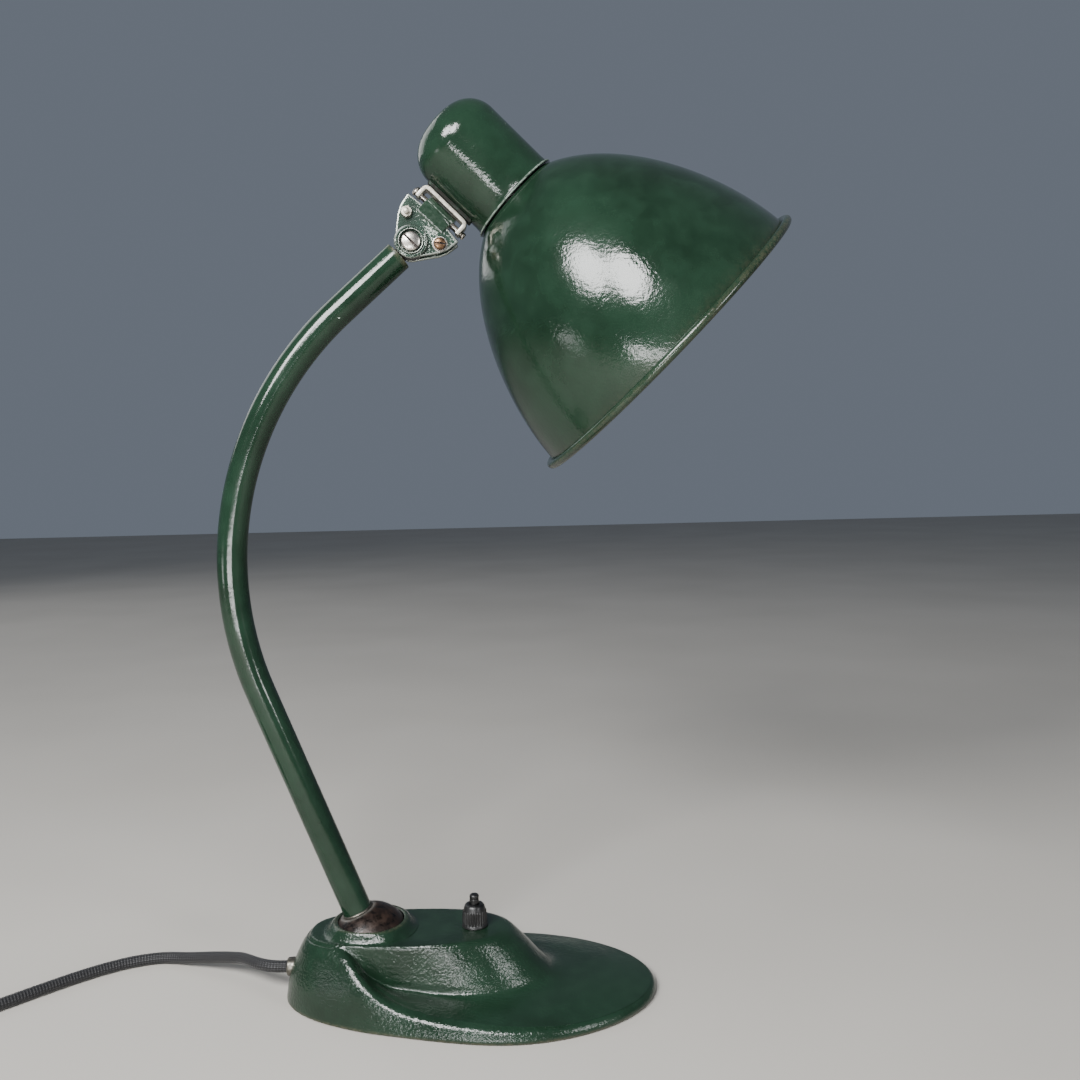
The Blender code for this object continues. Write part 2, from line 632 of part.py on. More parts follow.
def arm_stations(start, end, bends):
    """Stations along the centre line, closer together on the bend."""
    bend_end = LOWER_STRAIGHT + BEND_RADIUS * math.radians(BEND_SWEEP)
    middle = list(np.linspace(LOWER_STRAIGHT, bend_end, bends))
    inside = [s for s in middle if start < s < end]
    return [arm_point(s) for s in [start] + inside + [end]]


def make_arm(materials, pan):
    """The bent tube, the flex inside it and the knuckle at its upper end."""
    end = arm_length() - TUBE_END_SETBACK
    stations = arm_stations(TUBE_START, end, 14)
    pipe("arm_tube", [p for p, _, _ in stations], [n for _, _, n in stations], TUBE_RADIUS,
         TUBE_BORE_RADIUS, 14, materials["enamel"], pan)
    flex = [p for p, _, _ in arm_stations(TUBE_START + 2.0 * MM, end - 17.0 * MM, 10)]
    make_cord_tube("arm_flex", flex, 2.6 * MM, 2, materials["braid"], pan)
    point, direction, _ = arm_point(arm_length())
    pitch = math.atan2(-direction.z, direction.x)
    tube_end = add_frame("tube_end", point, (0.0, pitch, 0.0), pan)
    half = KNUCKLE_HALF_WIDTH
    knuckle = turn_piece("arm_knuckle", rod(8.3 * MM, -half, half), materials["iron"], tube_end, 24, "Y")
    stem = [(0.0, -24.0), (6.2, -24.0), (6.2, -9.2), (3.9, -9.2), (3.9, -4.0), (0.0, -4.0)]
    neck = turn_piece("knuckle_neck", [(r * MM, x * MM) for r, x in stem], materials["iron"], tube_end,
                      16, "X")
    combine(knuckle, neck, "UNION")
    bore = turn_piece("knuckle_bore", rod(2.85 * MM, -8.0 * MM, 8.0 * MM), materials["iron"], tube_end,
                      16, "Y")
    combine(knuckle, bore, "DIFFERENCE")
    return point


# -------------------------------------------------------------------- clamp
def leaf_outline():
    """A clamp leaf: a round lobe about the pivot and a wide straight hinge edge."""
    lobe = arc((0.0, 0.0), LOBE_RADIUS, 125.0, 235.0, 14)
    corners = [(6.0, -15.0), (10.5, -17.0), (17.8, -18.2), (18.5, -17.4), (18.5, 17.4), (17.8, 18.2),
               (10.5, 17.0), (6.0, 15.0)]
    return lobe + [(x * MM, z * MM) for x, z in corners]


def make_fork(materials, clamp):
    """The clamp: one sheet folded round the hinge pin into a front and a rear leaf."""
    outer = LEAF_INNER + LEAF_THICKNESS
    enamel = materials["enamel"]
    fork = prism("clamp_fork", leaf_outline(), -outer, -LEAF_INNER, enamel, clamp)
    rear = prism("rear_leaf", leaf_outline(), LEAF_INNER, outer, enamel, clamp)
    combine(fork, rear, "UNION")
    pin = (PIN_OFFSET, 0.0)
    outside = arc(pin, 3.6 * MM, -80.0, 80.0, 12)
    inside = arc(pin, 1.95 * MM, 100.0, -100.0, 12)
    profile = [(14.0 * MM, -outer + 0.1 * MM), (18.2 * MM, -outer + 0.1 * MM)] + outside
    profile += [(18.2 * MM, outer - 0.1 * MM), (14.0 * MM, outer - 0.1 * MM),
                (14.0 * MM, LEAF_INNER + 0.1 * MM), (18.0 * MM, LEAF_INNER + 0.1 * MM)]
    profile += inside + [(18.0 * MM, -LEAF_INNER - 0.1 * MM), (14.0 * MM, -LEAF_INNER - 0.1 * MM)]
    roll = prism("hinge_roll", profile, -8.7 * MM, 8.7 * MM, enamel, clamp, "XY")
    combine(fork, roll, "UNION")
    for name, x, z, radius in (("pivot", 0.0, 0.0, 2.85), ("upper", 9.7, 12.0, 1.75),
                               ("lower", 9.7, -12.0, 1.75)):
        bore = turn_piece(f"fork_bore_{name}", rod(radius * MM, -12.0 * MM, 12.0 * MM), enamel, clamp, 20,
                          "Y", (x * MM, 0.0, z * MM))
        combine(fork, bore, "DIFFERENCE")


def make_nut(name, across, low, high, bore, material, parent, at):
    """A hexagon nut along Y."""
    nut = turn_piece(name, rod(across / math.sqrt(3.0) * MM, low * MM, high * MM), material, parent, 6,
                     "Y", at)
    hole = turn_piece(f"{name}_bore", rod(bore * MM, (low - 1.0) * MM, (high + 1.0) * MM), material,
                      parent, 16, "Y", at)
    combine(nut, hole, "DIFFERENCE")


def make_clamp_fasteners(materials, clamp):
    """The pivot screw, the two small clamp screws and their washers, spacers and nuts."""
    steel, zinc, brass, enamel = (materials[k] for k in ("steel", "zinc", "brass", "enamel"))
    centre = (0.0, 0.0, 0.0)
    turn_piece("pivot_cup_washer", ring(5.9 * MM, 8.2 * MM, -8.2 * MM, -6.4 * MM), enamel, clamp, 22, "Y")
    turn_piece("pivot_rear_washer", ring(2.85 * MM, 8.2 * MM, 6.4 * MM, 7.9 * MM), enamel, clamp, 22, "Y")
    make_screw("pivot_screw", 5.4, 2.4, 2.55, 19.4, steel, clamp, (0.0, -6.4 * MM, 0.0), "Y", 1.2)
    make_nut("pivot_nut", 9.0, 8.2, 12.2, 2.85, zinc, clamp, centre)
    upper = (CLAMP_SCREW_X, 0.0, CLAMP_SCREW_Z)
    lower = (CLAMP_SCREW_X, 0.0, -CLAMP_SCREW_Z)
    make_screw("clamp_screw_upper", 2.9, 2.0, 1.45, 15.9, zinc, clamp,
               (upper[0], 6.4 * MM, upper[2]), "Y", 0.8, True)
    make_nut("clamp_nut_upper", 5.5, -8.8, -6.4, 1.75, zinc, clamp, upper)
    make_screw("clamp_screw_lower", 3.3, 2.2, 1.45, 16.4, brass, clamp,
               (lower[0], -7.1 * MM, lower[2]), "Y", 0.9)
    turn_piece("clamp_washer_lower", ring(1.75 * MM, 4.0 * MM, -6.8 * MM, -6.4 * MM), steel, clamp, 20,
               "Y", lower)
    make_nut("clamp_nut_lower", 5.5, 6.4, 8.8, 1.75, brass, clamp, lower)
    for name, place in (("upper", upper), ("lower", lower)):
        turn_piece(f"clamp_spacer_{name}", ring(1.75 * MM, 2.6 * MM, -4.0 * MM, 4.0 * MM), zinc, clamp,
                   16, "Y", place)


# --------------------------------------------------------------------- head
def make_hinge(materials, clamp):
    """The pin, the U bracket on it, the saddle under the bracket and its two rivets."""
    zinc, steel = materials["zinc"], materials["steel"]
    pin = [(0.0, -17.2), (1.3, -17.2), (1.6, -16.8), (1.6, 16.3), (2.6, 16.3), (2.6, 17.1),
           (1.8, 17.9), (0.0, 17.9)]
    turn_piece("hinge_pin", [(r * MM, z * MM) for r, z in pin], steel, clamp, 16, at=(PIN_OFFSET, 0.0, 0.0))
    ear = 15.9
    profile = [(19.3, ear), (29.2, ear), (29.2, -ear), (19.3, -ear), (19.3, -14.2), (27.5, -14.2),
               (27.5, 14.2), (19.3, 14.2)]
    bracket = prism("hinge_bracket", [(x * MM, z * MM) for x, z in profile], -4.0 * MM, 4.0 * MM, zinc,
                    clamp)
    eyes = turn_piece("bracket_eyes", rod(1.9 * MM, -20.0 * MM, 20.0 * MM), zinc, clamp, 16,
                      at=(PIN_OFFSET, 0.0, 0.0))
    combine(bracket, eyes, "DIFFERENCE")
    bend = CAP_RADIUS + GAP
    hollow = [(PIVOT_TO_AXIS - bend * math.cos(t), bend * math.sin(t))
              for t in np.linspace(-0.27, 0.27, 9)]
    outline = [(29.5 * MM, hollow[-1][1]), (29.5 * MM, hollow[0][1])] + hollow
    saddle = prism("bracket_saddle", outline, -15.0 * MM, 15.0 * MM, materials["enamel"], clamp, "XY")
    shafts = []
    for name, z in (("upper", 7.0 * MM), ("lower", -7.0 * MM)):
        rivet = [(0.0, 26.4), (1.6, 26.4), (2.5, 27.2), (1.4, 27.2), (1.4, 33.4), (0.0, 33.4)]
        turn_piece(f"bracket_rivet_{name}", [(r * MM, x * MM) for r, x in rivet], zinc, clamp, 16, "X",
                   (0.0, 0.0, z))
        shaft = turn_piece(f"rivet_shaft_{name}", rod(1.7 * MM, 27.2 * MM - GAP, 36.0 * MM), zinc, clamp,
                           16, "X", (0.0, 0.0, z))
        shafts.append(shaft)
    for shaft in shafts:
        combine(bracket, shaft, "DIFFERENCE")
        combine(saddle, shaft, "DIFFERENCE")
    return shafts


def shade_radius(height):
    """Outer radius of the bell at a height above the rim's plane."""
    return SHADE_RADIUS * math.sqrt(1.0 - (height / SHADE_DEPTH) ** SHADE_POWER)


def make_shade(materials, head):
    """The spun bell with its rolled rim and its flat crown."""
    heights = [CROWN_Z * (1.0 - (1.0 - i / SHADE_STEPS) ** 1.4) for i in range(1, SHADE_STEPS + 1)]
    outer = [(shade_radius(z), z) for z in heights]
    inner = [(shade_radius(z) - SHEET, z - 0.35 * SHEET) for z in heights[:-1]]
    bead_centre = (SHADE_RADIUS + BEAD_RADIUS + 0.5 * MM, 1.6 * MM)
    bead = arc(bead_centre, BEAD_RADIUS, 200.0, 520.0, 9)
    crown = [(CROWN_HOLE_RADIUS, CROWN_Z + 0.6 * MM), (CROWN_HOLE_RADIUS, CROWN_Z - 0.4 * MM)]
    crown += [(inner[-1][0] - 1.0 * MM, CROWN_Z - 0.4 * MM)]
    start = [(SHADE_RADIUS - SHEET, 0.2 * MM)]
    profile = start + bead + outer + crown + inner[::-1]
    turn_piece("shade", profile, materials["enamel"], head, 36)


def make_cap(materials, head, shafts):
    """The deep drawn cap over the lampholder."""
    corner_z = CAP_TOP_Z - CAP_CORNER
    outer = arc((CAP_RADIUS - CAP_CORNER, corner_z), CAP_CORNER, 0.0, 90.0, 5)
    inner_corner = CAP_CORNER - SHEET
    inner = arc((CAP_RADIUS - CAP_CORNER, corner_z), inner_corner, 90.0, 0.0, 5)
    lip = [(CAP_RADIUS - SHEET, CAP_BOTTOM_Z), (CAP_RADIUS + 1.2 * MM, CAP_BOTTOM_Z),
           (CAP_RADIUS + 1.2 * MM, CAP_BOTTOM_Z + 0.8 * MM), (CAP_RADIUS, CAP_BOTTOM_Z + 1.3 * MM)]
    profile = [(0.0, CAP_TOP_Z - SHEET)] + inner + lip + outer + [(0.0, CAP_TOP_Z)]
    cap = turn_piece("lamp_cap", profile, materials["enamel"], head, 24)
    for shaft in shafts:
        combine(cap, shaft, "DIFFERENCE")


def make_lampholder(materials, head):
    """The lampholder, its shade ring and the bulb."""
    turn_piece("shade_ring", ring(20.2 * MM, 23.4 * MM, 107.5 * MM, 112.4 * MM), materials["bakelite"],
               head, 24)
    shell = [(19.8, 104.0), (19.8, 150.0), (17.0, 156.0), (4.0, 158.0), (4.0, 154.0), (14.6, 150.6),
             (14.6, 104.0)]
    turn_piece("lampholder_shell", [(r * MM, z * MM) for r, z in shell], materials["bakelite"], head, 22)
    insert = [(0.0, 131.5), (13.9, 131.5), (13.9, 148.0), (0.0, 148.0)]
    turn_piece("lampholder_insert", [(r * MM, z * MM) for r, z in insert], materials["porcelain"], head,
               16)
    thread = [(0.0, 104.3), (13.2, 104.3), (13.2, 125.0), (8.0, 128.4), (4.0, 131.0), (0.0, 131.0)]
    turn_piece("bulb_cap", [(r * MM, z * MM) for r, z in thread], materials["brass"], head, 18)
    inside = BULB_RADIUS - GLASS_THICKNESS
    outer = arc((0.0, BULB_CENTRE_Z), BULB_RADIUS, -90.0, 42.0, 7)
    outer += [(r * MM, z * MM) for r, z in ((17.5, 84.5), (14.6, 93.0), (13.0, 104.0))]
    inner = [(r * MM, z * MM) for r, z in ((12.2, 104.0), (13.8, 93.0), (16.7, 84.2))]
    inner += arc((0.0, BULB_CENTRE_Z), inside, 42.0, -90.0, 7)
    outer[0] = (0.0, BULB_CENTRE_Z - BULB_RADIUS)
    inner[-1] = (0.0, BULB_CENTRE_Z - inside)
    turn_piece("bulb_glass", outer + inner, materials["glass"], head, 18)


# ----------------------------------------------------------------- assembly
def build():
    """Make every piece of the lamp."""
    clear_scene()
    materials = make_finishes()
    make_casting(materials)
    make_underside(materials)
    make_pressure_plate(materials)
    make_switch(materials)
    make_gland(materials)
    make_mains_cord(materials)
    pan = add_frame("arm_frame", BALL_CENTRE, (0.0, 0.0, math.radians(ARM_YAW)))
    make_ball_joint(materials, pan)
    pivot = make_arm(materials, pan)
    clamp = add_frame("clamp_frame", pivot, (0.0, math.radians(HEAD_PITCH), 0.0), pan)
    make_fork(materials, clamp)
    make_clamp_fasteners(materials, clamp)
    head = add_frame("head_frame", (PIVOT_TO_AXIS, 0.0, -PIVOT_TO_RIM), (0.0, 0.0, 0.0), clamp)
    shafts = make_hinge(materials, clamp)
    make_shade(materials, head)
    make_cap(materials, head, shafts)
    make_lampholder(materials, head)
    bpy.context.view_layer.update()


build()
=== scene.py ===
# %% [markdown]
# # A green desk lamp with a bent arm
# The lamp is a cast iron foot, a dark iron ball joint, a bent steel tube, a small clamp and a
# spun bell shade with a drawn cap.  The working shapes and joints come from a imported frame.
# Here every visible piece gets its fine surface and its finish.  A shape is a grid of points
# worked out with numpy, because one formula then gives the whole surface at any fineness.

# %% Load the frame
import json
import math

import bpy
import numpy as np
from mathutils import Matrix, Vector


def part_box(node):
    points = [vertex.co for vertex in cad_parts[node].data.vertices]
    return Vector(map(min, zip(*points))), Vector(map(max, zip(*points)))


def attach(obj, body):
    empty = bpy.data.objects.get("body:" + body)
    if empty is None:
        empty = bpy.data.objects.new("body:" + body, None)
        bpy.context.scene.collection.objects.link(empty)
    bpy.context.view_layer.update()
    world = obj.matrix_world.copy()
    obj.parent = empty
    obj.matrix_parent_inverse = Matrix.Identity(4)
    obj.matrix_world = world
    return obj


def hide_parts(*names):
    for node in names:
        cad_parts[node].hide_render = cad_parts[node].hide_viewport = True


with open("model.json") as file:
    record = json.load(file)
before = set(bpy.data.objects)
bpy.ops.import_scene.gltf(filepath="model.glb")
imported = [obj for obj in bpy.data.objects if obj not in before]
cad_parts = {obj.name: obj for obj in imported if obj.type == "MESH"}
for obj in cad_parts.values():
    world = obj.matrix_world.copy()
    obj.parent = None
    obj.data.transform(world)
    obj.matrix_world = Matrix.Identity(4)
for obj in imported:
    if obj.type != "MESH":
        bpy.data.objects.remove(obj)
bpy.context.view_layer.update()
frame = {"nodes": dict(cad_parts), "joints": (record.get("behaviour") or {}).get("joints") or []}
joints = {joint["name"]: joint for joint in frame["joints"]}

# %% [markdown]
# ## The camera
# A camera fixes what has to look right first.  This one stands half a metre in front of the
# lamp at the height of the arm's middle, tips down a little and leans one degree.

# %% Place the camera
MM = 0.001
CAMERA_PLACE = np.array([44.0, -566.0, 288.8]) * MM
CAMERA_TIP = math.radians(90.0 - 3.73)
CAMERA_LEAN = math.radians(-1.346)

camera_data = bpy.data.cameras.new("camera")
camera_data.sensor_width = 36.0
camera_data.lens = 34.67
camera_data.clip_start = 0.01
camera = bpy.data.objects.new("camera", camera_data)
lean = Matrix.Rotation(CAMERA_TIP, 4, "X") @ Matrix.Rotation(CAMERA_LEAN, 4, "Z")
camera.matrix_world = Matrix.Translation(CAMERA_PLACE) @ lean
bpy.context.collection.objects.link(camera)
bpy.context.scene.camera = camera
print("camera at", CAMERA_PLACE.round(3))

# %% [markdown]
# ## From numbers to meshes
# All the pieces use the same few steps: make a grid of points, put it in the lamp's space, and
# join neighbouring points with four-sided faces.  Blender's own primitives could be pushed
# into shape instead, but a grid keeps the formula of the shape in plain sight.

# %% Grid helpers
def place(points, where):
    """Local millimetres to metres in the lamp's space: origin plus the sum along three axes."""
    origin, axes = where
    return np.asarray(origin) + (np.asarray(points, float) * MM) @ np.asarray(axes)


def surface(name, grid, material, body, replaces=(), wrap_rows=False, poles=False,
            wear=None, uv=False):
    """A mesh from a grid of points (rows, columns, 3) whose columns close on themselves.

    wrap_rows joins the last row to the first; poles shrinks the first and last row to one
    point each.  wear is one value per row or per point, kept as an attribute; beside real wear it
    carries the painted highlight on the hinge roll and the painted shade on the packing.
    """
    rows, columns = grid.shape[:2]
    index = np.arange(rows * columns).reshape(rows, columns)
    if poles:
        index[0] = index[0, 0]
        index[-1] = index[-1, 0]
    lower, upper = (index, np.roll(index, -1, 0)) if wrap_rows else (index[:-1], index[1:])
    faces = np.stack([lower, np.roll(lower, -1, 1), np.roll(upper, -1, 1), upper], -1).reshape(-1, 4)
    points = grid.reshape(-1, 3)
    used = np.unique(faces)
    renumber = np.zeros(len(points), int)
    renumber[used] = np.arange(len(used))
    faces = renumber[faces]
    corners = np.ones_like(faces, bool)
    corners[:, 1:] = faces[:, 1:] != faces[:, :-1]
    corners[:, 0] = faces[:, 0] != faces[:, 3]
    mesh = bpy.data.meshes.new(name)
    mesh.vertices.add(len(used))
    mesh.vertices.foreach_set("co", points[used].ravel())
    mesh.loops.add(int(corners.sum()))
    mesh.loops.foreach_set("vertex_index", faces[corners])
    sizes = corners.sum(1)
    mesh.polygons.add(len(sizes))
    mesh.polygons.foreach_set("loop_start", np.append(0, np.cumsum(sizes)[:-1]))
    mesh.update(calc_edges=True)
    if wear is not None:
        values = np.broadcast_to(np.reshape(wear, (rows, -1)), (rows, columns)).reshape(-1)[used]
        layer = mesh.attributes.new("wear", "FLOAT", "POINT")
        layer.data.foreach_set("value", values.astype(np.float32))
    if uv:
        along = np.repeat(np.arange(rows), columns).reshape(rows, columns)
        around = np.tile(np.arange(columns), (rows, 1))
        corner_u = np.stack([around[:-1], around[:-1] + 1, around[:-1] + 1, around[:-1]], -1)
        corner_v = np.stack([along[:-1], along[:-1], along[1:], along[1:]], -1)
        places = np.stack([corner_u / columns, corner_v], -1).reshape(-1, 2)[corners.ravel()]
        mesh.uv_layers.new(name="along").data.foreach_set("uv", places.ravel())
    return finish_piece(name, mesh, material, body, replaces)


def finish_piece(name, mesh, material, body, replaces):
    """Turn the faces outwards, give the material, and hang the piece on its body."""
    if signed_volume(mesh) < 0.0:
        mesh.flip_normals()
    mesh.materials.append(material)
    mesh.shade_smooth()
    mesh.set_sharp_from_angle(angle=math.radians(48.0))
    piece = bpy.data.objects.new(name, mesh)
    bpy.context.collection.objects.link(piece)
    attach(piece, body)
    if replaces:
        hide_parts(*replaces)
    return piece


def signed_volume(mesh):
    """Sum over triangles of the box product of their corners, divided by six."""
    mesh.calc_loop_triangles()
    triangles = np.zeros(len(mesh.loop_triangles) * 3, np.int32)
    mesh.loop_triangles.foreach_get("vertices", triangles)
    points = np.zeros(len(mesh.vertices) * 3)
    mesh.vertices.foreach_get("co", points)
    a, b, c = np.moveaxis(points.reshape(-1, 3)[triangles.reshape(-1, 3)], 1, 0)
    return float(np.einsum("ij,ij->i", a, np.cross(b, c)).sum() / 6.0)


def soften(corners, radius, closed=False, steps=5):
    """A polyline whose corners are replaced by short curves, each a quadratic Bezier."""
    points = np.asarray(corners, float)
    before = np.roll(points, 1, 0) - points
    after = np.roll(points, -1, 0) - points
    reach_before = np.linalg.norm(before, axis=1, keepdims=True) + 1e-9
    reach_after = np.linalg.norm(after, axis=1, keepdims=True) + 1e-9
    start = points + before / reach_before * np.minimum(radius, 0.45 * reach_before)
    end = points + after / reach_after * np.minimum(radius, 0.45 * reach_after)
    t = np.linspace(0.0, 1.0, steps)[None, :, None]
    curves = (1 - t) ** 2 * start[:, None] + 2 * t * (1 - t) * points[:, None] + t ** 2 * end[:, None]
    if closed:
        return curves.reshape(-1, points.shape[1])
    return np.vstack([points[:1], curves[1:-1].reshape(-1, points.shape[1]), points[-1:]])


def lathe(profile, sides=96):
    """Each (radius, height) of the profile turned about the height axis."""
    radius, height = np.asarray(profile, float).T
    turn = np.linspace(0.0, 2.0 * math.pi, sides, endpoint=False)
    x = radius[:, None] * np.cos(turn)
    y = radius[:, None] * np.sin(turn)
    return np.stack([x, y, np.broadcast_to(height[:, None], x.shape)], -1)


def smooth_rows(rows, steps):
    """A Catmull-Rom curve through rows of points, with steps points from row to row."""
    rows = np.asarray(rows, float)
    ends = np.concatenate([2 * rows[:1] - rows[1:2], rows, 2 * rows[-1:] - rows[-2:-1]])
    t = np.linspace(0.0, 1.0, steps, endpoint=False).reshape((1, -1) + (1,) * (rows.ndim - 1))
    a, b, c, d = (ends[k:len(ends) - 3 + k][:, None] for k in range(4))
    inside = 0.5 * (2 * b + (c - a) * t + (2 * a - 5 * b + 4 * c - d) * t ** 2
                    + (3 * b - a - 3 * c + d) * t ** 3)
    return np.concatenate([inside.reshape((-1,) + rows.shape[1:]), rows[-1:]])


print("grid helpers ready")

# %% [markdown]
# ## Where things are
# The frame's joints give the places: the ball's centre, the clamp's pivot, and the axis of the
# shade.  Two directions fix a set of axes, and the third is their cross product.

# %% Axes of the ball, the clamp and the head
def axes_of(height, normal):
    """Unit X, Y and Z rows from the height direction Z and the arm plane's normal Y."""
    z = np.array(height, float) / np.linalg.norm(height)
    y = np.array(normal, float) / np.linalg.norm(normal)
    return np.array([np.cross(y, z), y, z])


PLANE_NORMAL = np.array(joints["ball_tilt"]["axis"])
BALL_CENTRE = np.array(joints["ball_tilt"]["pos_m"])
PIVOT = np.array(joints["head_tilt"]["pos_m"])
PIN = np.array(joints["head_swivel"]["pos_m"])
PIVOT_TO_RIM = 138.2
PIVOT_TO_AXIS = 56.6

ball_place = (BALL_CENTRE, axes_of(joints["arm_twist"]["axis"], PLANE_NORMAL))
clamp_axes = axes_of(joints["head_swivel"]["axis"], PLANE_NORMAL)
clamp_place = (PIVOT, clamp_axes)
rim_centre = place([PIVOT_TO_AXIS, 0.0, -PIVOT_TO_RIM], clamp_place)
head_place = (rim_centre, clamp_axes)
world_place = (np.zeros(3), np.eye(3))
print("rim centre", rim_centre.round(4))

# %% [markdown]
# ## Finishes
# Each finish starts from what it really is.  Colours are written as sRGB hex, as a paint chart
# gives them, and turned to the linear light that Blender works in.

# %% Colour and node helpers
def linear(code):
    """An sRGB hex colour as linear red, green, blue and alpha."""
    parts = np.array([int(code[k:k + 2], 16) for k in (1, 3, 5)]) / 255.0
    light = np.where(parts <= 0.04045, parts / 12.92, ((parts + 0.055) / 1.055) ** 2.4)
    return (*light.tolist(), 1.0)


def add(tree, kind, inputs=None, **settings):
    """Add one node: settings are its own values, inputs are socket values or links."""
    made = tree.nodes.new(kind)
    for key, value in settings.items():
        setattr(made, key, value)
    for key, value in (inputs or {}).items():
        if isinstance(value, bpy.types.NodeSocket):
            tree.links.new(value, made.inputs[key])
        else:
            made.inputs[key].default_value = value
    return made


def new_material(name, roughness=0.5, metallic=0.0, **fixed):
    """A material with its Principled shader and the values that are even all over."""
    material = bpy.data.materials.new(name)
    material.use_nodes = True
    tree = material.node_tree
    shader = tree.nodes["Principled BSDF"]
    shader.inputs["Roughness"].default_value = roughness
    shader.inputs["Metallic"].default_value = metallic
    for key, value in fixed.items():
        shader.inputs[key.replace("_", " ")].default_value = value
    return material, tree, shader


def grain(tree, millimetres, detail=2.0, roughness=0.5, stretch=(1.0, 1.0, 1.0)):
    """Noise whose cells measure the given millimetres, read in the lamp's own space."""
    where = add(tree, "ShaderNodeTexCoord").outputs["Object"]
    mapped = add(tree, "ShaderNodeMapping", {"Vector": where, "Scale": stretch}).outputs["Vector"]
    size = {"Vector": mapped, "Scale": 1.0 / (millimetres * MM), "Detail": detail, "Roughness": roughness}
    return add(tree, "ShaderNodeTexNoise", size).outputs["Fac"]


def band(tree, value, low, high, out_low=0.0, out_high=1.0):
    """Stretch a value from low..high to out_low..out_high, clamped."""
    inputs = {"Value": value, "From Min": low, "From Max": high, "To Min": out_low, "To Max": out_high}
    return add(tree, "ShaderNodeMapRange", inputs, clamp=True).outputs["Result"]


def blend_colours(tree, factor, first, second):
    """The first colour where the factor is 0 and the second where it is 1."""
    return add(tree, "ShaderNodeMix", {0: factor, 6: first, 7: second}, data_type="RGBA").outputs[2]


def combine_values(tree, operation, first, second, clamp=True):
    """One arithmetic step on two values; clamp keeps the result between 0 and 1."""
    return add(tree, "ShaderNodeMath", {0: first, 1: second}, operation=operation,
               use_clamp=clamp).outputs[0]


def worn_share(tree):
    """The piece's wear attribute, point by point: wear, and on the hinge roll and the packing also painted
    highlight and painted shade.
    """
    return add(tree, "ShaderNodeAttribute", attribute_name="wear").outputs["Fac"]


def bumped(tree, depth_mm, height, below=None, strength=1.0, invert=False):
    """A normal tilted by a height value of the given depth, on top of another normal if given."""
    inputs = {"Strength": strength, "Distance": depth_mm * MM, "Height": height}
    if below is not None:
        inputs["Normal"] = below
    return add(tree, "ShaderNodeBump", inputs, invert=invert).outputs["Normal"]


def feed(tree, shader, colour, roughness, normal):
    """Link the three values that every finish varies to its shader."""
    tree.links.new(colour, shader.inputs["Base Color"])
    tree.links.new(roughness, shader.inputs["Roughness"])
    tree.links.new(normal, shader.inputs["Normal"])


print("finish helpers ready")

# %% [markdown]
# ### Brushed gloss enamel
# Old machine enamel, brushed on by hand.  It levels badly, so its gloss is broken by a fine
# orange peel and by soft ripples, while the colour stays a deep even green.  Wear shows first
# on edges, as brown undercoat and then bare metal, and knocks leave pale chips.  An image could
# carry all this, but noise read in the lamp's own space needs no unwrapping and shows no seam.

# %% Green enamel
def green_enamel(name, peel_mm, peel_depth, chip_share=0.0, wear_and_painted_light_tint=("#4a4636", 0.9), rough=(0.08, 0.17)):
    """Enamel with orange peel of a given size and depth, a share of chips, and a tint led by the wear
    attribute: worn edges, also a painted highlight on the hinge roll and painted shade on the packing.
    """
    material, tree, shader = new_material(name, 0.2, Specular_IOR_Level=0.42)
    cloud = grain(tree, 55.0, 3.0)
    body = blend_colours(tree, band(tree, cloud, 0.35, 0.65), linear("#102015"), linear("#182c1f"))
    film = band(tree, grain(tree, 9.0, 4.0), 0.42, 0.75)
    body = blend_colours(tree, combine_values(tree, "MULTIPLY", film, 0.3), body, linear("#22382a"))
    torn = band(tree, grain(tree, 2.2, 5.0, 0.7), 0.36, 0.62)
    ragged = combine_values(tree, "MULTIPLY", worn_share(tree), torn)
    # The tint marks worn edges; in pale on the hinge roll it is a painted highlight, in near black on the
    # packing painted shade.
    body = blend_colours(tree, combine_values(tree, "MULTIPLY", ragged, wear_and_painted_light_tint[1]), body, linear(wear_and_painted_light_tint[0]))
    chip_start = 0.5 + 0.5 * (1.0 - chip_share)
    chips = band(tree, grain(tree, 3.2, 2.0), chip_start, chip_start + 0.02)
    body = blend_colours(tree, chips, body, linear("#b9c6bb"))
    smudge = band(tree, grain(tree, 28.0, 3.0), 0.3, 0.7, rough[0], rough[1])
    smudge = combine_values(tree, "ADD", smudge, combine_values(tree, "MULTIPLY", ragged, 0.3))
    peel = bumped(tree, peel_depth, grain(tree, peel_mm, 2.0, 0.6))
    feed(tree, shader, body, smudge, bumped(tree, 0.25, grain(tree, 22.0, 1.0), below=peel))
    return material


shade_enamel = green_enamel("brushed_enamel_on_sheet", 2.1, 0.12)
tube_enamel = green_enamel("brushed_enamel_on_tube", 3.0, 0.06, chip_share=0.45)
cast_enamel = green_enamel("brushed_enamel_on_casting", 1.5, 0.30, rough=(0.12, 0.22))
# The cap enamel's pale tint also paints the highlight line along the hinge roll.
cap_enamel = green_enamel("brushed_enamel_on_cap", 2.0, 0.12, chip_share=0.44, wear_and_painted_light_tint=("#9aa79c", 0.9))
# Near-black tint for the packing in the gap under the hinge strip: painted shade.
painted_shade_enamel = green_enamel("enamel_darkened_as_painted_shade", 2.4, 0.05, wear_and_painted_light_tint=("#14120e", 0.95), rough=(0.6, 0.75))
print("enamels:", shade_enamel.name, tube_enamel.name, cast_enamel.name, cap_enamel.name)

# %% [markdown]
# ### Patinated cast iron
# The ball has lost its paint where the arm turns it.  Handled iron goes brown-black and
# glossy, with pits that stay matt, so its colour and its roughness follow the same noise.

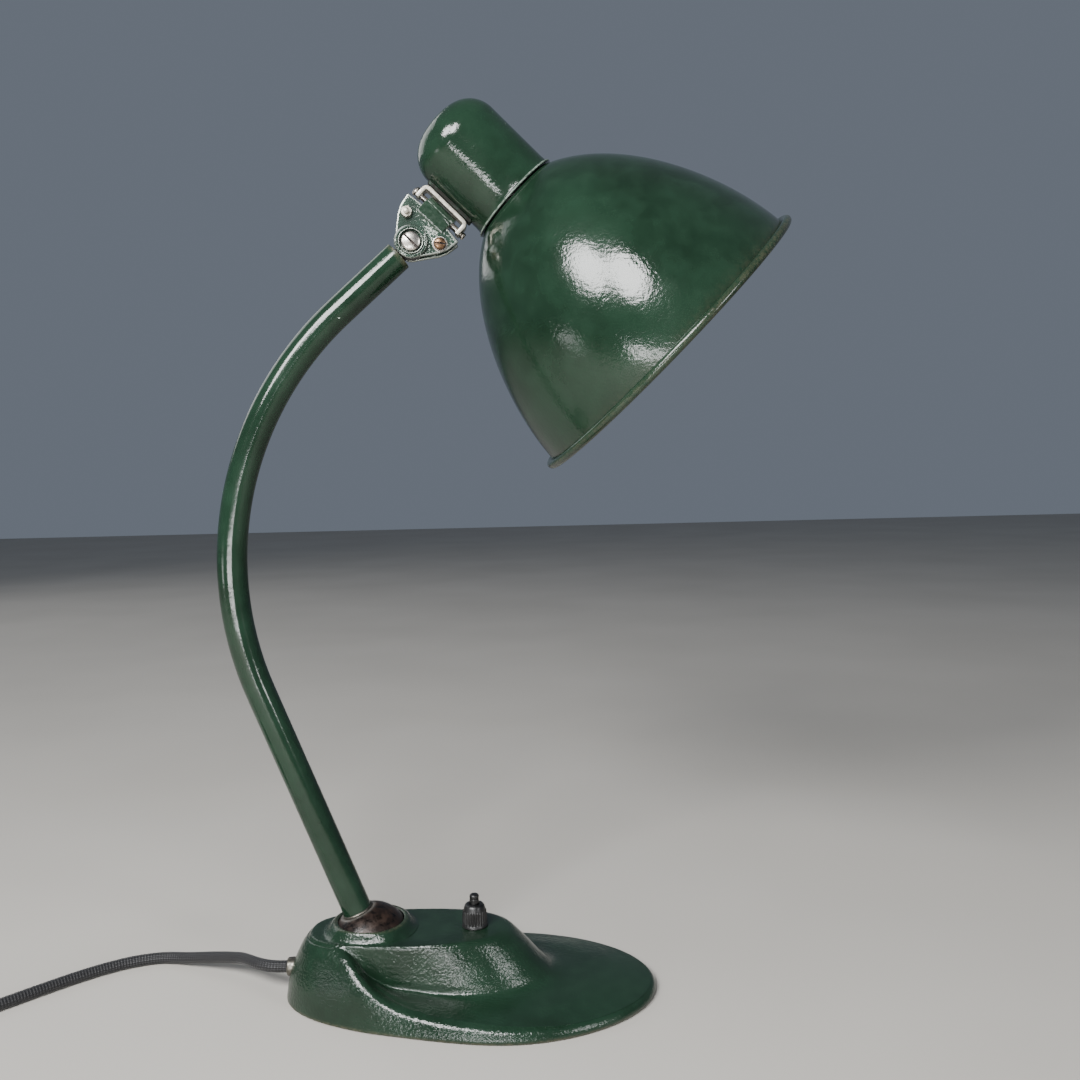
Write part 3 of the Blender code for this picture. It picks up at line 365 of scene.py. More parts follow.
# %% Dark iron
def patinated_iron():
    """Dark brown iron: two scales of stain, with the pits rougher than the rubbed skin."""
    material, tree, shader = new_material("patinated_cast_iron", 0.4, 0.35)
    stain = band(tree, grain(tree, 5.0, 6.0, 0.7), 0.38, 0.62)
    colour = blend_colours(tree, stain, linear("#0c0a09"), linear("#2e211a"))
    colour = blend_colours(tree, worn_share(tree), colour, linear("#8d8a83"))
    pits = bumped(tree, 0.18, grain(tree, 2.6, 4.0, 0.6))
    feed(tree, shader, colour, band(tree, stain, 0.0, 1.0, 0.24, 0.5), pits)
    return material


iron = patinated_iron()
print("iron:", iron.name)

# %% [markdown]
# ### Bare and plated metals
# Screws, washers and the hinge strip are plain turned or pressed metal.  Tarnish darkens them
# in patches and fingers leave them smoother on the high spots, so each metal is one colour pair
# with a cloud of stain between the two, and fine scratches that run every way.

# %% Steel, zinc, brass
def tarnished_metal(name, clean, stained, rough, stain_mm=2.2):
    """Metal that fades from a clean to a stained colour where its noise is high."""
    material, tree, shader = new_material(name, rough, 1.0)
    stain = band(tree, grain(tree, stain_mm, 5.0, 0.65), 0.40, 0.66, 0.0, 0.8)
    scratches = bumped(tree, 0.03, grain(tree, 0.7, 3.0, 0.7), strength=0.6)
    feed(tree, shader, blend_colours(tree, stain, linear(clean), linear(stained)),
         band(tree, stain, 0.0, 1.0, rough, rough + 0.22), scratches)
    return material


steel = tarnished_metal("bright_turned_steel", "#cfcac2", "#5f574d", 0.22, 2.6)
zinc = tarnished_metal("dull_zinc_plate", "#b5b1a6", "#716d64", 0.38, 3.0)
brass = tarnished_metal("tarnished_brass", "#7d634c", "#35261d", 0.3)
dull_zinc = tarnished_metal("blackened_zinc", "#75726a", "#33302c", 0.36)
print("metals:", steel.name, zinc.name, brass.name, dull_zinc.name)

# %% [markdown]
# ### Enamel rubbed through to steel
# The clamp is the part that hands hold.  Its paint has gone to a speckle of green over grey
# steel, and its edges shine.  The speckle is a fine noise that switches between the two.

# %% Worn clamp finish
def rubbed_enamel():
    """A speckle of green paint and bare steel; wear near 1 is all steel."""
    material, tree, shader = new_material("enamel_rubbed_to_steel", 0.35)
    speck = grain(tree, 0.9, 4.0, 0.75)
    patch = band(tree, grain(tree, 9.0, 2.0), 0.35, 0.7, -0.10, 0.10)
    lifted = combine_values(tree, "ADD", combine_values(tree, "ADD", speck, patch),
                            combine_values(tree, "MULTIPLY", worn_share(tree), 0.5))
    bare = band(tree, lifted, 0.56, 0.64)
    paint = blend_colours(tree, band(tree, grain(tree, 6.0, 3.0), 0.35, 0.65), linear("#0f2217"),
                          linear("#1e3328"))
    tree.links.new(bare, shader.inputs["Metallic"])
    feed(tree, shader, blend_colours(tree, bare, paint, linear("#8d938c")),
         band(tree, bare, 0.0, 1.0, 0.24, 0.36), bumped(tree, 0.05, bare, invert=True))
    return material


clamp_finish = rubbed_enamel()
print("clamp finish:", clamp_finish.name)

# %% [markdown]
# ### Moulded bakelite, glazed porcelain, felt, leather, glass
# The switch is black bakelite, a hard resin that keeps a low gloss; dust greys it slightly.
# The other small materials show only from below or inside the shade.

# %% Small materials
def plain_with_cloud(name, first, second, rough, cloud_mm, bump_mm, bump_depth, **fixed):
    """A material whose colour drifts between two close shades, over a fine bump."""
    material, tree, shader = new_material(name, rough, **fixed)
    cloud = band(tree, grain(tree, cloud_mm, 4.0), 0.35, 0.65)
    feed(tree, shader, blend_colours(tree, cloud, linear(first), linear(second)),
         band(tree, cloud, 0.0, 1.0, rough, rough + 0.12),
         bumped(tree, bump_depth, grain(tree, bump_mm, 3.0)))
    return material


bakelite = plain_with_cloud("moulded_black_bakelite", "#080808", "#161616", 0.32, 7.0, 1.2, 0.02)
porcelain = plain_with_cloud("glazed_porcelain", "#e9e4d8", "#dcd5c6", 0.15, 9.0, 3.0, 0.02)
felt = plain_with_cloud("pressed_wool_felt", "#22352a", "#2d4437", 0.9, 2.0, 0.8, 0.25,
                        Sheen_Weight=0.4, Sheen_Roughness=0.5)
leather = plain_with_cloud("greased_leather", "#3b2417", "#5a3a25", 0.6, 3.0, 0.8, 0.1)
glass = plain_with_cloud("clear_blown_glass", "#f4f6f4", "#eef1ee", 0.02, 30.0, 20.0, 0.02,
                         Transmission_Weight=1.0, IOR=1.5)
print("small materials:", bakelite.name, porcelain.name, felt.name, leather.name, glass.name)

# %% [markdown]
# ### Braided cord
# A rubber flex in a braid of black rayon.  Two sets of flat yarns run round it in opposite
# screws and pass over and under each other.  The pattern follows the cord, so it reads the
# piece's own UV map: u goes once round, v counts rings of points along it.

# %% Braid
BRAID_YARNS = 16
YARN_PITCH = 3.4
CORD_STEP = 2.0


def yarn_wave(tree, operation, round_it, along):
    """The sine of two angles added or subtracted: the yarns that run one way."""
    angle = combine_values(tree, operation, round_it, along, clamp=False)
    return add(tree, "ShaderNodeMath", {0: angle}, operation="SINE").outputs[0]


def braid():
    """Two screws of yarn, as the product of two sine waves in u plus and minus v."""
    material, tree, shader = new_material("black_rayon_braid", 0.6, Sheen_Weight=0.08, Sheen_Roughness=0.4)
    on_cord = add(tree, "ShaderNodeUVMap", uv_map="along").outputs["UV"]
    u, v, _ = add(tree, "ShaderNodeSeparateXYZ", {"Vector": on_cord}).outputs
    round_it = combine_values(tree, "MULTIPLY", u, math.pi * BRAID_YARNS, clamp=False)
    along = combine_values(tree, "MULTIPLY", v, 2.0 * math.pi * CORD_STEP / YARN_PITCH, clamp=False)
    weave = combine_values(tree, "MULTIPLY", yarn_wave(tree, "ADD", round_it, along),
                           yarn_wave(tree, "SUBTRACT", round_it, along), clamp=False)
    height = band(tree, weave, -1.0, 1.0)
    # The weave pattern is real; its crests painted lighter are a painted highlight and its grooves painted
    # darker are painted shade.
    feed(tree, shader, blend_colours(tree, height, linear("#050506"), linear("#17171a")),
         band(tree, height, 0.0, 1.0, 0.75, 0.42), bumped(tree, 0.35, height))
    return material


braid_finish = braid()
print("cord finish:", braid_finish.name)

# %% [markdown]
# ## The mains cord
# A cord is a fixed length of something flexible: 1.7 m of 6.5 mm flex.  It leaves the foot's
# gland, sinks to the table in a loose bow and runs off to the left; the rest is put away in
# a round coil of three layers.  The free run goes through listed points, and the
# coil is a spiral: radius and height are simple functions of the number of turns.

# %% Cord route
CORD_DIAMETER = 6.5
GLAND_FACE = np.array([-102.8, 0.0, 16.0])
CORD_ROUTE = (
    (-102.8, 0.0, 16.0), (-109.6, 0.3, 16.0), (-117.0, 2.9, 15.8), (-124.8, 8.6, 15.1),
    (-132.5, 16.0, 13.6), (-146.0, 24.0, 10.8), (-161.0, 31.5, 7.4), (-175.0, 37.6, 4.6),
    (-188.0, 40.8, 3.5), (-204.5, 36.5, 3.4), (-220.0, 27.0, 3.4), (-234.0, 15.0, 3.4),
    (-246.5, 2.5, 3.4), (-258.5, -10.0, 3.4), (-270.0, -21.5, 3.4), (-280.7, -32.2, 3.4),
)
COIL_CENTRE = np.array([-328.0, -20.0])
COIL_TURNS = 6.125
PLUG_REAR = np.array([-356.0, -62.0, 13.3])


def coil_points(turns):
    """Spiral from the outside: in along the table, out in the second layer, then on top."""
    angle = math.radians(-45.0) - 2.0 * math.pi * turns
    radius = np.interp(turns, [0.0, 2.0, 2.3, 4.3, 4.6, 5.05, 6.0, 6.2],
                       [42.0, 29.0, 29.0, 42.0, 42.0, 35.5, 41.7, 42.0])
    height = np.interp(turns, [0.0, 2.0, 2.35, 4.25, 4.6, 5.5, 5.8, 6.125],
                       [3.45, 3.45, 9.1, 9.1, 14.7, 14.7, 16.4, 14.6])
    plan = COIL_CENTRE + np.stack([np.cos(angle), np.sin(angle)], -1) * radius[..., None]
    return np.column_stack([plan, height])


def even_steps(points, step):
    """The same line with its points a fixed step apart."""
    length = np.append(0.0, np.cumsum(np.linalg.norm(np.diff(points, axis=0), axis=1)))
    places = np.linspace(0.0, length[-1], int(round(length[-1] / step)) + 1)
    return np.stack([np.interp(places, length, points[:, k]) for k in range(3)], 1), length[-1]


turned_coil = coil_points(np.linspace(0.0, COIL_TURNS, 40 * 6))
tail = PLUG_REAR + np.array([[14.0, 0.0, 0.6], [0.0, 0.0, 0.0]])
cord_line = np.vstack([smooth_rows(CORD_ROUTE, 12), turned_coil, tail])
cord_line, cord_length = even_steps(smooth_rows(even_steps(cord_line, 9.0)[0], 6), CORD_STEP)
print("cord length", round(cord_length), "mm")

# %% Cord tube
def tube_along(points, radius, sides, side=None):
    """Circles square to a line of points; side is a fixed direction across the line."""
    heading = np.gradient(points, axis=0)
    heading /= np.linalg.norm(heading, axis=1, keepdims=True)
    across = np.cross([0.0, 0.0, 1.0], heading) if side is None else np.broadcast_to(side, heading.shape)
    across = across / np.linalg.norm(across, axis=1, keepdims=True)
    over = np.cross(heading, across)
    turn = np.linspace(0.0, 2.0 * math.pi, sides, endpoint=False)[:, None]
    circle = np.cos(turn) * across[:, None] + np.sin(turn) * over[:, None]
    radius = np.reshape(radius, (-1, 1, 1))
    return points[:, None] + circle * radius


cord_grid = tube_along(cord_line, CORD_DIAMETER / 2.0, 16)
cord_grid = np.concatenate([cord_line[:1, None] + 0.0 * cord_grid[:1], cord_grid,
                            cord_line[-1:, None] + 0.0 * cord_grid[-1:]])
mains_cord = surface("cord_braided", place(cord_grid, world_place), braid_finish, "base",
                     ("mains_cord", "cord_coil"), poles=True, uv=True)

# %% Plug
def plug():
    """Round rubber-sleeved plug: a turned body with finger grooves, on its two pins."""
    sleeve = [(0.0, 4.0), (3.9, 4.0), (4.3, 0.0), (5.2, -6.0), (6.6, -12.0), (9.2, -17.0), (12.6, -21.0)]
    grooves = [(13.0 - 0.9 * (k % 2), -23.0 - 1.5 * k) for k in range(9)]
    body = sleeve + grooves + [(13.0, -36.5), (12.2, -38.0), (0.0, -38.0)]
    grid = lathe(soften(body, 0.8), 64)
    turned = np.stack([grid[..., 2], grid[..., 0], grid[..., 1]], -1) + PLUG_REAR
    return surface("plug_shell", place(turned, world_place), bakelite, "base", ("plug_body",),
                   poles=True)


plug_piece = plug()


TIE_MIDDLE = np.array([35.5, 0.0, 11.0])
TIE_HALF_WIDTH = 12.2
TIE_HALF_HEIGHT = 9.9


def cord_tie():
    """A flat strap closed round one side of the coil: a rounded section carried round it."""
    turn = np.linspace(0.0, 2.0 * math.pi, 48, endpoint=False)
    x = TIE_HALF_WIDTH * np.sign(np.cos(turn)) * np.abs(np.cos(turn)) ** 0.6
    z = TIE_HALF_HEIGHT * np.sign(np.sin(turn)) * np.abs(np.sin(turn)) ** 0.6
    out = np.stack([x, 0.0 * x, z], -1)
    loop = TIE_MIDDLE + out
    out /= np.linalg.norm(out, axis=1, keepdims=True)
    section = soften([(0.0, -6.0), (0.9, -6.0), (0.9, 6.0), (0.0, 6.0)], 0.4, True, 4)
    grid = loop[:, None] + out[:, None] * section[None, :, :1]
    grid = grid + np.array([0.0, 1.0, 0.0]) * section[None, :, 1:]
    spin = np.array([[0.0, 1.0, 0.0], [-1.0, 0.0, 0.0], [0.0, 0.0, 1.0]])
    grid = grid @ spin + np.array([COIL_CENTRE[0], COIL_CENTRE[1], 0.0])
    return surface("cord_tie", place(grid, world_place), felt, "base", wrap_rows=True)


tie_piece = cord_tie()
print("cord, plug and tie made")

# %% [markdown]
# ## The cast foot
# A hollow iron casting: an egg-shaped foot, a long housing for the ball and the switch, and a
# shoulder that climbs from the foot's edge to the nose.  It could be sculpted, but its sides
# are ruled: each section runs straight in plan from the foot's outline to the housing's top.
# So one angle picks the section, and a few heights along it, faired by a spline, give the rest.

# %% Outlines of the foot and the housing
FOOT_HALF_LENGTH = 103.0
FOOT_HALF_WIDTH = 57.0
FOOT_SPREAD = 7.2
HOUSING_CENTRE_X = -34.0
HOUSING_HALF_LENGTH = 54.0
HOUSING_HALF_WIDTH = 24.5
HOUSING_TOP = 37.0
EDGE_HEIGHT = 2.4
BALL_XY = BALL_CENTRE[:2] / MM
BALL_Z = BALL_CENTRE[2] / MM


def foot_outline(angle, inset=0.0):
    """An ellipse whose half width grows by a tanh step towards the front."""
    width = FOOT_HALF_WIDTH - inset + FOOT_SPREAD * np.tanh(2.5 * np.cos(angle))
    return np.stack([(FOOT_HALF_LENGTH - inset) * np.cos(angle), width * np.sin(angle)], -1)


def top_outline(angle):
    """A superellipse of power 0.8 round the housing's middle."""
    circle = np.stack([np.cos(angle), np.sin(angle)], -1)
    squared = np.sign(circle) * np.abs(circle) ** 0.8
    return squared * [HOUSING_HALF_LENGTH, HOUSING_HALF_WIDTH] + [HOUSING_CENTRE_X, 0.0]


# Shoulder and valley of the casting against the cosine of the angle (-1 nose, 1 front tip):
# the share of the way in from the foot's outline, and the height in millimetres.
SHOULDER = np.array([
    (-1.00, 0.52, 27.8), (-0.62, 0.60, 31.0), (-0.54, 0.67, 33.5), (-0.45, 0.68, 26.5),
    (-0.34, 0.67, 18.8), (-0.24, 0.53, 14.2), (-0.09, 0.32, 11.2), (0.19, 0.20, 8.8),
    (0.56, 0.09, 6.6), (1.00, 0.055, 6.0),
])
VALLEY = np.array([
    (-1.00, 0.80, 34.3), (-0.62, 0.86, 35.4), (-0.54, 0.91, 35.2), (-0.43, 0.945, 31.0),
    (-0.33, 0.965, 22.5), (-0.13, 0.955, 15.2), (0.11, 0.89, 12.0), (0.35, 0.78, 11.8),
    (0.68, 0.69, 11.4), (1.00, 0.63, 11.2),
])


def faired(table, along, column):
    """A table's column read at the given cosines, then rounded by a short moving mean."""
    spread = np.linspace(-0.05, 0.05, 9)
    reads = np.interp(along[:, None] + spread, table[:, 0], table[:, column])
    return reads.mean(1)


def casting_rows(angle):
    """Rows from under the foot's edge, over the shoulder and valley, to the housing's top."""
    along = np.cos(angle)
    nose = np.clip((-0.45 - along) / 0.25, 0.0, 1.0)
    s_way, s_high = faired(SHOULDER, along, 1), faired(SHOULDER, along, 2)
    v_way, v_high = faired(VALLEY, along, 1), faired(VALLEY, along, 2)
    rise = s_high - EDGE_HEIGHT
    steps = [(0.010 + 0.0 * along, 0.5 + 0.0 * along), (0.0 * along, EDGE_HEIGHT + 0.0 * along),
             (0.26 * s_way, EDGE_HEIGHT + rise * (0.60 - 0.16 * nose)),
             (0.66 * s_way, EDGE_HEIGHT + rise * (0.89 - 0.12 * nose)), (s_way, s_high),
             (s_way + 0.45 * (v_way - s_way), s_high + 0.52 * (v_high - s_high)), (v_way, v_high),
             (v_way + 0.30 * (1.0 - v_way), v_high + 0.22 * (HOUSING_TOP - v_high)),
             (v_way + 0.62 * (1.0 - v_way), v_high + 0.62 * (HOUSING_TOP - v_high)),
             (v_way + 0.88 * (1.0 - v_way), v_high + 0.92 * (HOUSING_TOP - v_high)),
             (1.01 + 0.0 * along, HOUSING_TOP + 0.0 * along)]
    foot, top = foot_outline(angle), top_outline(angle)
    return [np.column_stack([foot + (top - foot) * way[:, None], high]) for way, high in steps]


# %% The casting's surface
SEAT_RADIUS = 22.55
BOSS_FOOT = 27.5
BOSS_MOUTH = 18.3
BOSS = ((27.5, 37.15), (26.0, 37.4), (24.6, 38.2), (23.2, 39.6), (21.9, 41.2), (20.6, 42.3),
        (19.4, 42.6), (18.3, 42.2))
LIP_HEIGHT = 42.5


def seat_rows(angle):
    """Rings round the ball: the soft boss, squeezed where the housing is narrow, then the seat."""
    away = top_outline(angle) - BALL_XY
    reach = np.linalg.norm(away, axis=1, keepdims=True)
    away /= reach
    squeeze = np.clip((0.985 * reach - BOSS_MOUTH) / (BOSS_FOOT - BOSS_MOUTH), 0.0, 1.0)
    boss = [(BOSS_MOUTH + (r - BOSS_MOUTH) * squeeze, z) for r, z in BOSS]
    flat = np.maximum(0.93 * reach, np.minimum(BOSS_FOOT + 0.6, 0.996 * reach))
    latitudes = np.radians([34.0, 24.0, 12.0, 0.0])
    bowl = [(SEAT_RADIUS * math.cos(t), BALL_Z + SEAT_RADIUS * math.sin(t)) for t in latitudes]
    rings = [(flat, HOUSING_TOP + 0.1)] + boss + bowl + [(23.0, 10.0)]
    return [np.column_stack([BALL_XY + away * r, np.full(len(angle), z)]) for r, z in rings]


def cast_base():
    """The outer skin and the seat as one grid, closed underneath by a shallow recess."""
    angle = np.linspace(0.0, 2.0 * math.pi, 400, endpoint=False)
    outer = smooth_rows(casting_rows(angle), 9)
    seat = seat_rows(angle)
    top_rings = len(BOSS) + 1
    boss = smooth_rows(seat[:top_rings], 5)
    recess = [np.column_stack([foot_outline(angle, inset), np.full(len(angle), z)])
              for inset, z in ((7.5, 5.2), (6.4, 4.4), (6.2, 0.7), (5.6, 0.4), (1.8, 0.4))]
    grid = np.concatenate([outer, boss, np.array(seat[top_rings:]), np.array(recess)])
    lip = np.exp(-((grid[..., 2] - LIP_HEIGHT) / 0.5) ** 2) * 0.4
    edge = np.exp(-((grid[..., 2] - 0.8) / 0.9) ** 2) * 0.9
    return surface("cast_base", place(grid, world_place), cast_enamel, "base", ("base_casting",),
                   wrap_rows=True, wear=lip + edge)


base_piece = cast_base()
print("casting:", len(base_piece.data.polygons), "faces")

# %% [markdown]
# ## The ball and the lower end of the arm
# The ball is turned iron with a flat where the tube enters.  Pressed up by a cup from below, it
# leaves only its upper cap in sight, and a thin zinc collar, dulled by hands, where the tube goes
# in.  Both are round about the tube's axis, so a turned profile gives each of them whole.

# %% Ball, collar
BALL_RADIUS = 22.2
BALL_FLAT = 10.0


def ball():
    """A circle arc from flat to flat, turned about the tube's axis, with a small chamfer."""
    edge = math.degrees(math.acos(BALL_FLAT / BALL_RADIUS))
    arc = np.radians(np.linspace(-edge, edge, 60))
    profile = [(BALL_RADIUS * math.cos(t), BALL_RADIUS * math.sin(t)) for t in arc]
    high = BALL_RADIUS * math.sin(math.radians(edge))
    mouth = [(9.4, high + 0.1), (8.2, high), (8.0, high - 3.0), (0.0, high - 3.0)]
    profile = [(0.0, -high)] + profile + mouth
    wear = np.exp(-((np.array([z for _, z in profile]) - high) / 0.3) ** 2) * 0.3
    return surface("ball_turned", place(lathe(profile, 128), ball_place), iron, "ball", ("ball",),
                   poles=True, wear=wear)


ball()
collar_section = soften([(8.05, 20.1), (8.8, 20.1), (8.7, 20.6), (8.4, 21.0), (8.05, 21.1)], 0.25, True)
surface("tube_collar", place(lathe(collar_section, 96), ball_place), dull_zinc, "arm",
        ("tube_ferrule",), wrap_rows=True)
print("ball and collar made")

# %% [markdown]
# ## The bent tube
# Steel tube 16 mm across, bent on a former: straight, then one arc, then straight.  Its centre
# line is worked out from the lean, the two straights and the bend, and a circle is carried
# along it.  The circle needs no turning frame, since the bend stays in one plane.

# %% Arm
ARM_LEAN = math.radians(-21.0)
LOWER_STRAIGHT = 154.3
BEND_RADIUS = 185.3
BEND_SWEEP = math.radians(69.1)
UPPER_STRAIGHT = 53.5
TUBE_RADIUS = 8.0
TUBE_BORE = 6.8
SHORT_OF_PIVOT = 9.3
arm_place = (BALL_CENTRE, axes_of((0.0, 0.0, 1.0), PLANE_NORMAL))


def arm_line(distance):
    """Centre line by distance from the ball: straight, circle arc, straight."""
    bend_length = BEND_RADIUS * BEND_SWEEP
    turned_by = np.clip((distance - LOWER_STRAIGHT) / bend_length, 0.0, 1.0) * BEND_SWEEP
    heading = ARM_LEAN + turned_by
    start = np.array([math.sin(ARM_LEAN), 0.0, math.cos(ARM_LEAN)])
    first_side = np.array([start[2], 0.0, -start[0]])
    direction = np.stack([np.sin(heading), 0.0 * heading, np.cos(heading)], -1)
    side = np.stack([np.cos(heading), 0.0 * heading, -np.sin(heading)], -1)
    line = start * np.minimum(distance, LOWER_STRAIGHT)[:, None]
    line = line + (first_side - side) * BEND_RADIUS
    return line + direction * np.maximum(distance - LOWER_STRAIGHT - bend_length, 0.0)[:, None]


def arm_tube():
    """Outer circles out along the line, inner circles back, and the two mouths rounded."""
    end = LOWER_STRAIGHT + BEND_RADIUS * BEND_SWEEP + UPPER_STRAIGHT - SHORT_OF_PIVOT
    along = np.concatenate([[18.0], np.linspace(20.0, end - 0.5, 150), [end - 0.1, end]])
    radii = np.full(len(along), TUBE_RADIUS)
    radii[-2:] = (TUBE_RADIUS - 0.1, TUBE_RADIUS - 0.5)
    outer = tube_along(arm_line(along), radii, 72, (0.0, 1.0, 0.0))
    inner = tube_along(arm_line(along[::-1]), TUBE_BORE, 72, (0.0, 1.0, 0.0))
    wear = np.concatenate([np.exp(-((end - along) / 1.6) ** 2), 0.0 * along])
    return surface("arm_bent_tube", place(np.concatenate([outer, inner]), arm_place), tube_enamel, "arm",
                   ("arm_tube",), wrap_rows=True, wear=wear)


arm_piece = arm_tube()
print("arm:", len(arm_piece.data.polygons), "faces")

# %% [markdown]
# ## The clamp
# A strip of sheet is folded round the hinge pin into two leaves.  The leaves squeeze the tube's
# knuckle when the pivot screw is tightened.  A leaf is a flat outline with a rounded edge, so
# its grid goes from the middle out to the edge, over it, and back to the middle behind.

# %% Flat plates with a rounded edge
def outline_normals(outline):
    """Unit normals of a closed outline that runs anticlockwise, from its central differences."""
    ahead = np.roll(outline, -1, 0) - np.roll(outline, 1, 0)
    normal = np.stack([ahead[:, 1], -ahead[:, 0]], -1)
    return normal / np.maximum(np.linalg.norm(normal, axis=1, keepdims=True), 1e-9)


def plate(outline, low, high, edge):
    """Rows of a plate: its outline shrunk to a point, at full size round the edge, and back."""
    outline = np.asarray(outline, float)
    middle = outline.mean(0)
    normal = outline_normals(outline)
    inset = outline - normal * edge
    flat = [middle + (inset - middle) * share for share in (0.0, 0.5, 0.94)]
    curve = np.radians(np.linspace(0.0, 90.0, 5))
    rows = [(ring, low) for ring in flat]
    rows += [(inset + normal * edge * math.sin(t), low + edge * (1.0 - math.cos(t))) for t in curve]
    rows += [(inset + normal * edge * math.sin(t), high - edge * (1.0 - math.cos(t))) for t in curve[::-1]]
    rows += [(ring, high) for ring in flat[::-1]]
    grid = np.stack([np.column_stack([ring[:, 0], np.full(len(ring), depth), ring[:, 1]])
                     for ring, depth in rows])
    wear = np.concatenate([[0.0, 0.0, 0.05], np.full(10, 0.7), [0.05, 0.0, 0.0]])
    return grid, wear


def block(outline, sizes_and_heights):
    """The same outline at each height, shrunk towards its middle by each size."""
    middle = outline.mean(0)
    return np.stack([np.column_stack([middle + (outline - middle) * size, np.full(len(outline), height)])
                     for size, height in sizes_and_heights])


LEAF_INNER = 4.3
LEAF_OUTER = 6.1
LEAF_CORNERS = [(6.0, -15.0), (10.5, -17.2), (17.6, -18.4), (18.6, -9.3), (18.6, 9.3), (17.6, 18.4),
                (10.5, 17.2), (6.0, 15.0)]


def leaf_outline():
    """A lobe round the pivot, then straight edges to a wide hinge edge with sharp corners."""
    lobe = np.radians(np.linspace(118.0, 242.0, 40))
    round_part = np.stack([8.6 * np.cos(lobe), 8.6 * np.sin(lobe)], -1)
    return np.vstack([round_part, soften(LEAF_CORNERS, 0.9, False, 6)])


def clamp_leaf(name, low, high, replaced=()):
    """One leaf as a plate; its wear is strongest on the edge."""
    grid, wear = plate(leaf_outline(), low, high, 0.45)
    return surface(name, place(grid, clamp_place), clamp_finish, "clamp", replaced,
                   poles=True, wear=wear)


clamp_leaf("clamp_front_leaf", -LEAF_OUTER, -LEAF_INNER, ("clamp_fork",))
clamp_leaf("clamp_rear_leaf", LEAF_INNER, LEAF_OUTER)


def hinge_roll():
    """The fold round the pin: a teardrop section, from leaf to leaf, carried along the pin."""
    bend = np.radians(np.linspace(-84.0, 84.0, 30))
    round_it = np.array([22.3, 0.0]) + 3.7 * np.stack([np.cos(bend), np.sin(bend)], -1)
    front = np.array([(13.5, -6.15), (15.5, -6.8), (19.0, -6.9), (21.4, -6.3), (22.5, -5.5), (22.6, -4.3)])
    section = np.vstack([front, round_it, front[::-1] * [1.0, -1.0]])
    section = soften(section, 0.5, True, 3)
    grid = block(section, [(0.0, -8.9), (0.94, -8.9), (1.0, -8.6), (1.0, 8.6), (0.94, 8.9), (0.0, 8.9)])
    # A pale line along the roll's front edge, drawn through the cap enamel's pale tint: a painted highlight.
    # The ends carry real edge wear.
    painted_highlight_line = np.exp(-((section[:, 0] - 22.5) / 0.3) ** 2) * 4.0 * (np.abs(section[:, 1]) > 4.5)
    wear = np.stack([painted_highlight_line + end for end in (0.2, 0.4, 0.05, 0.05, 0.4, 0.2)])
    return surface("clamp_hinge_roll", place(grid, clamp_place), cap_enamel, "clamp", (),
                   poles=True, wear=wear)


hinge_roll()
print("clamp leaves and roll made")

# %% [markdown]
# ## Screws, nuts and washers
# Small fasteners catch the light more than their size suggests, so they get real slots.  A
# slotted head is a dome minus a bar.  The bar is cut with a Boolean, which is exact and then
# thrown away, because a grid that follows both a circle and a straight slot is clumsy.

# %% Turned pieces across the clamp
ALONG_Y = np.array([[1.0, 0.0, 0.0], [0.0, 0.0, 1.0], [0.0, 1.0, 0.0]])


def across_clamp(name, profile, centre, material, replaced=(), sides=64, wear=None, ring=True):
    """A profile of (radius, depth) turned about the clamp's Y direction at (x, z)."""
    grid = lathe(profile, sides) @ ALONG_Y + np.array([centre[0], 0.0, centre[1]])
    return surface(name, place(grid, clamp_place), material, "clamp", replaced,
                   wrap_rows=ring, poles=not ring, wear=wear)


def cut_slot(piece, centre, width, floor, turn, reach=8.0):
    """Cut a bar across a head from the depth `floor` outwards; the cut faces get the dark iron finish as
    painted shade inside the slot.
    """
    x = np.array([-1.0, 1.0, 1.0, -1.0]) * width / 2.0
    z = np.array([-1.0, -1.0, 1.0, 1.0]) * reach
    c, s = math.cos(turn), math.sin(turn)
    bar = np.stack([x * c - z * s + centre[0], 0.0 * x, x * s + z * c + centre[1]], -1)
    points = np.concatenate([bar + [0.0, floor, 0.0], bar + [0.0, floor - 9.0, 0.0]])
    mesh = bpy.data.meshes.new("slot_bar")
    sides = [(k, (k + 1) % 4, (k + 1) % 4 + 4, k + 4) for k in range(4)]
    mesh.from_pydata(place(points, clamp_place).tolist(), [], sides + [(3, 2, 1, 0), (4, 5, 6, 7)])
    if signed_volume(mesh) < 0.0:
        mesh.flip_normals()
    # The slot's faces take the dark iron finish: painted shade inside the slot.
    mesh.polygons.foreach_set("material_index", [1] * len(mesh.polygons))
    piece.data.materials.append(iron)
    bar_object = bpy.data.objects.new("slot_bar", mesh)
    bpy.context.collection.objects.link(bar_object)
    cut = piece.modifiers.new("slot", "BOOLEAN")
    cut.operation = "DIFFERENCE"
    cut.object = bar_object
    bpy.context.view_layer.update()
    seen = piece.evaluated_get(bpy.context.evaluated_depsgraph_get())
    result = bpy.data.meshes.new_from_object(seen)
    piece.modifiers.clear()
    piece.data = result
    result.set_sharp_from_angle(angle=math.radians(40.0))
    bpy.data.objects.remove(bar_object)


def domed_head(radius, seat, crown, shank, tip):
    """Profile of a screw: a low dome, a straight rim, and a shank to its tip."""
    arc = np.radians(np.linspace(90.0, 12.0, 12))
    rim = 0.45 * abs(crown)
    dome = [(radius * math.cos(t), seat - rim - (abs(crown) - rim) * math.sin(t)) for t in arc]
    return [(0.0, seat - abs(crown))] + dome[1:] + [(radius, seat - rim * 0.8), (radius, seat),
                                                    (shank, seat), (shank, tip), (0.0, tip)]


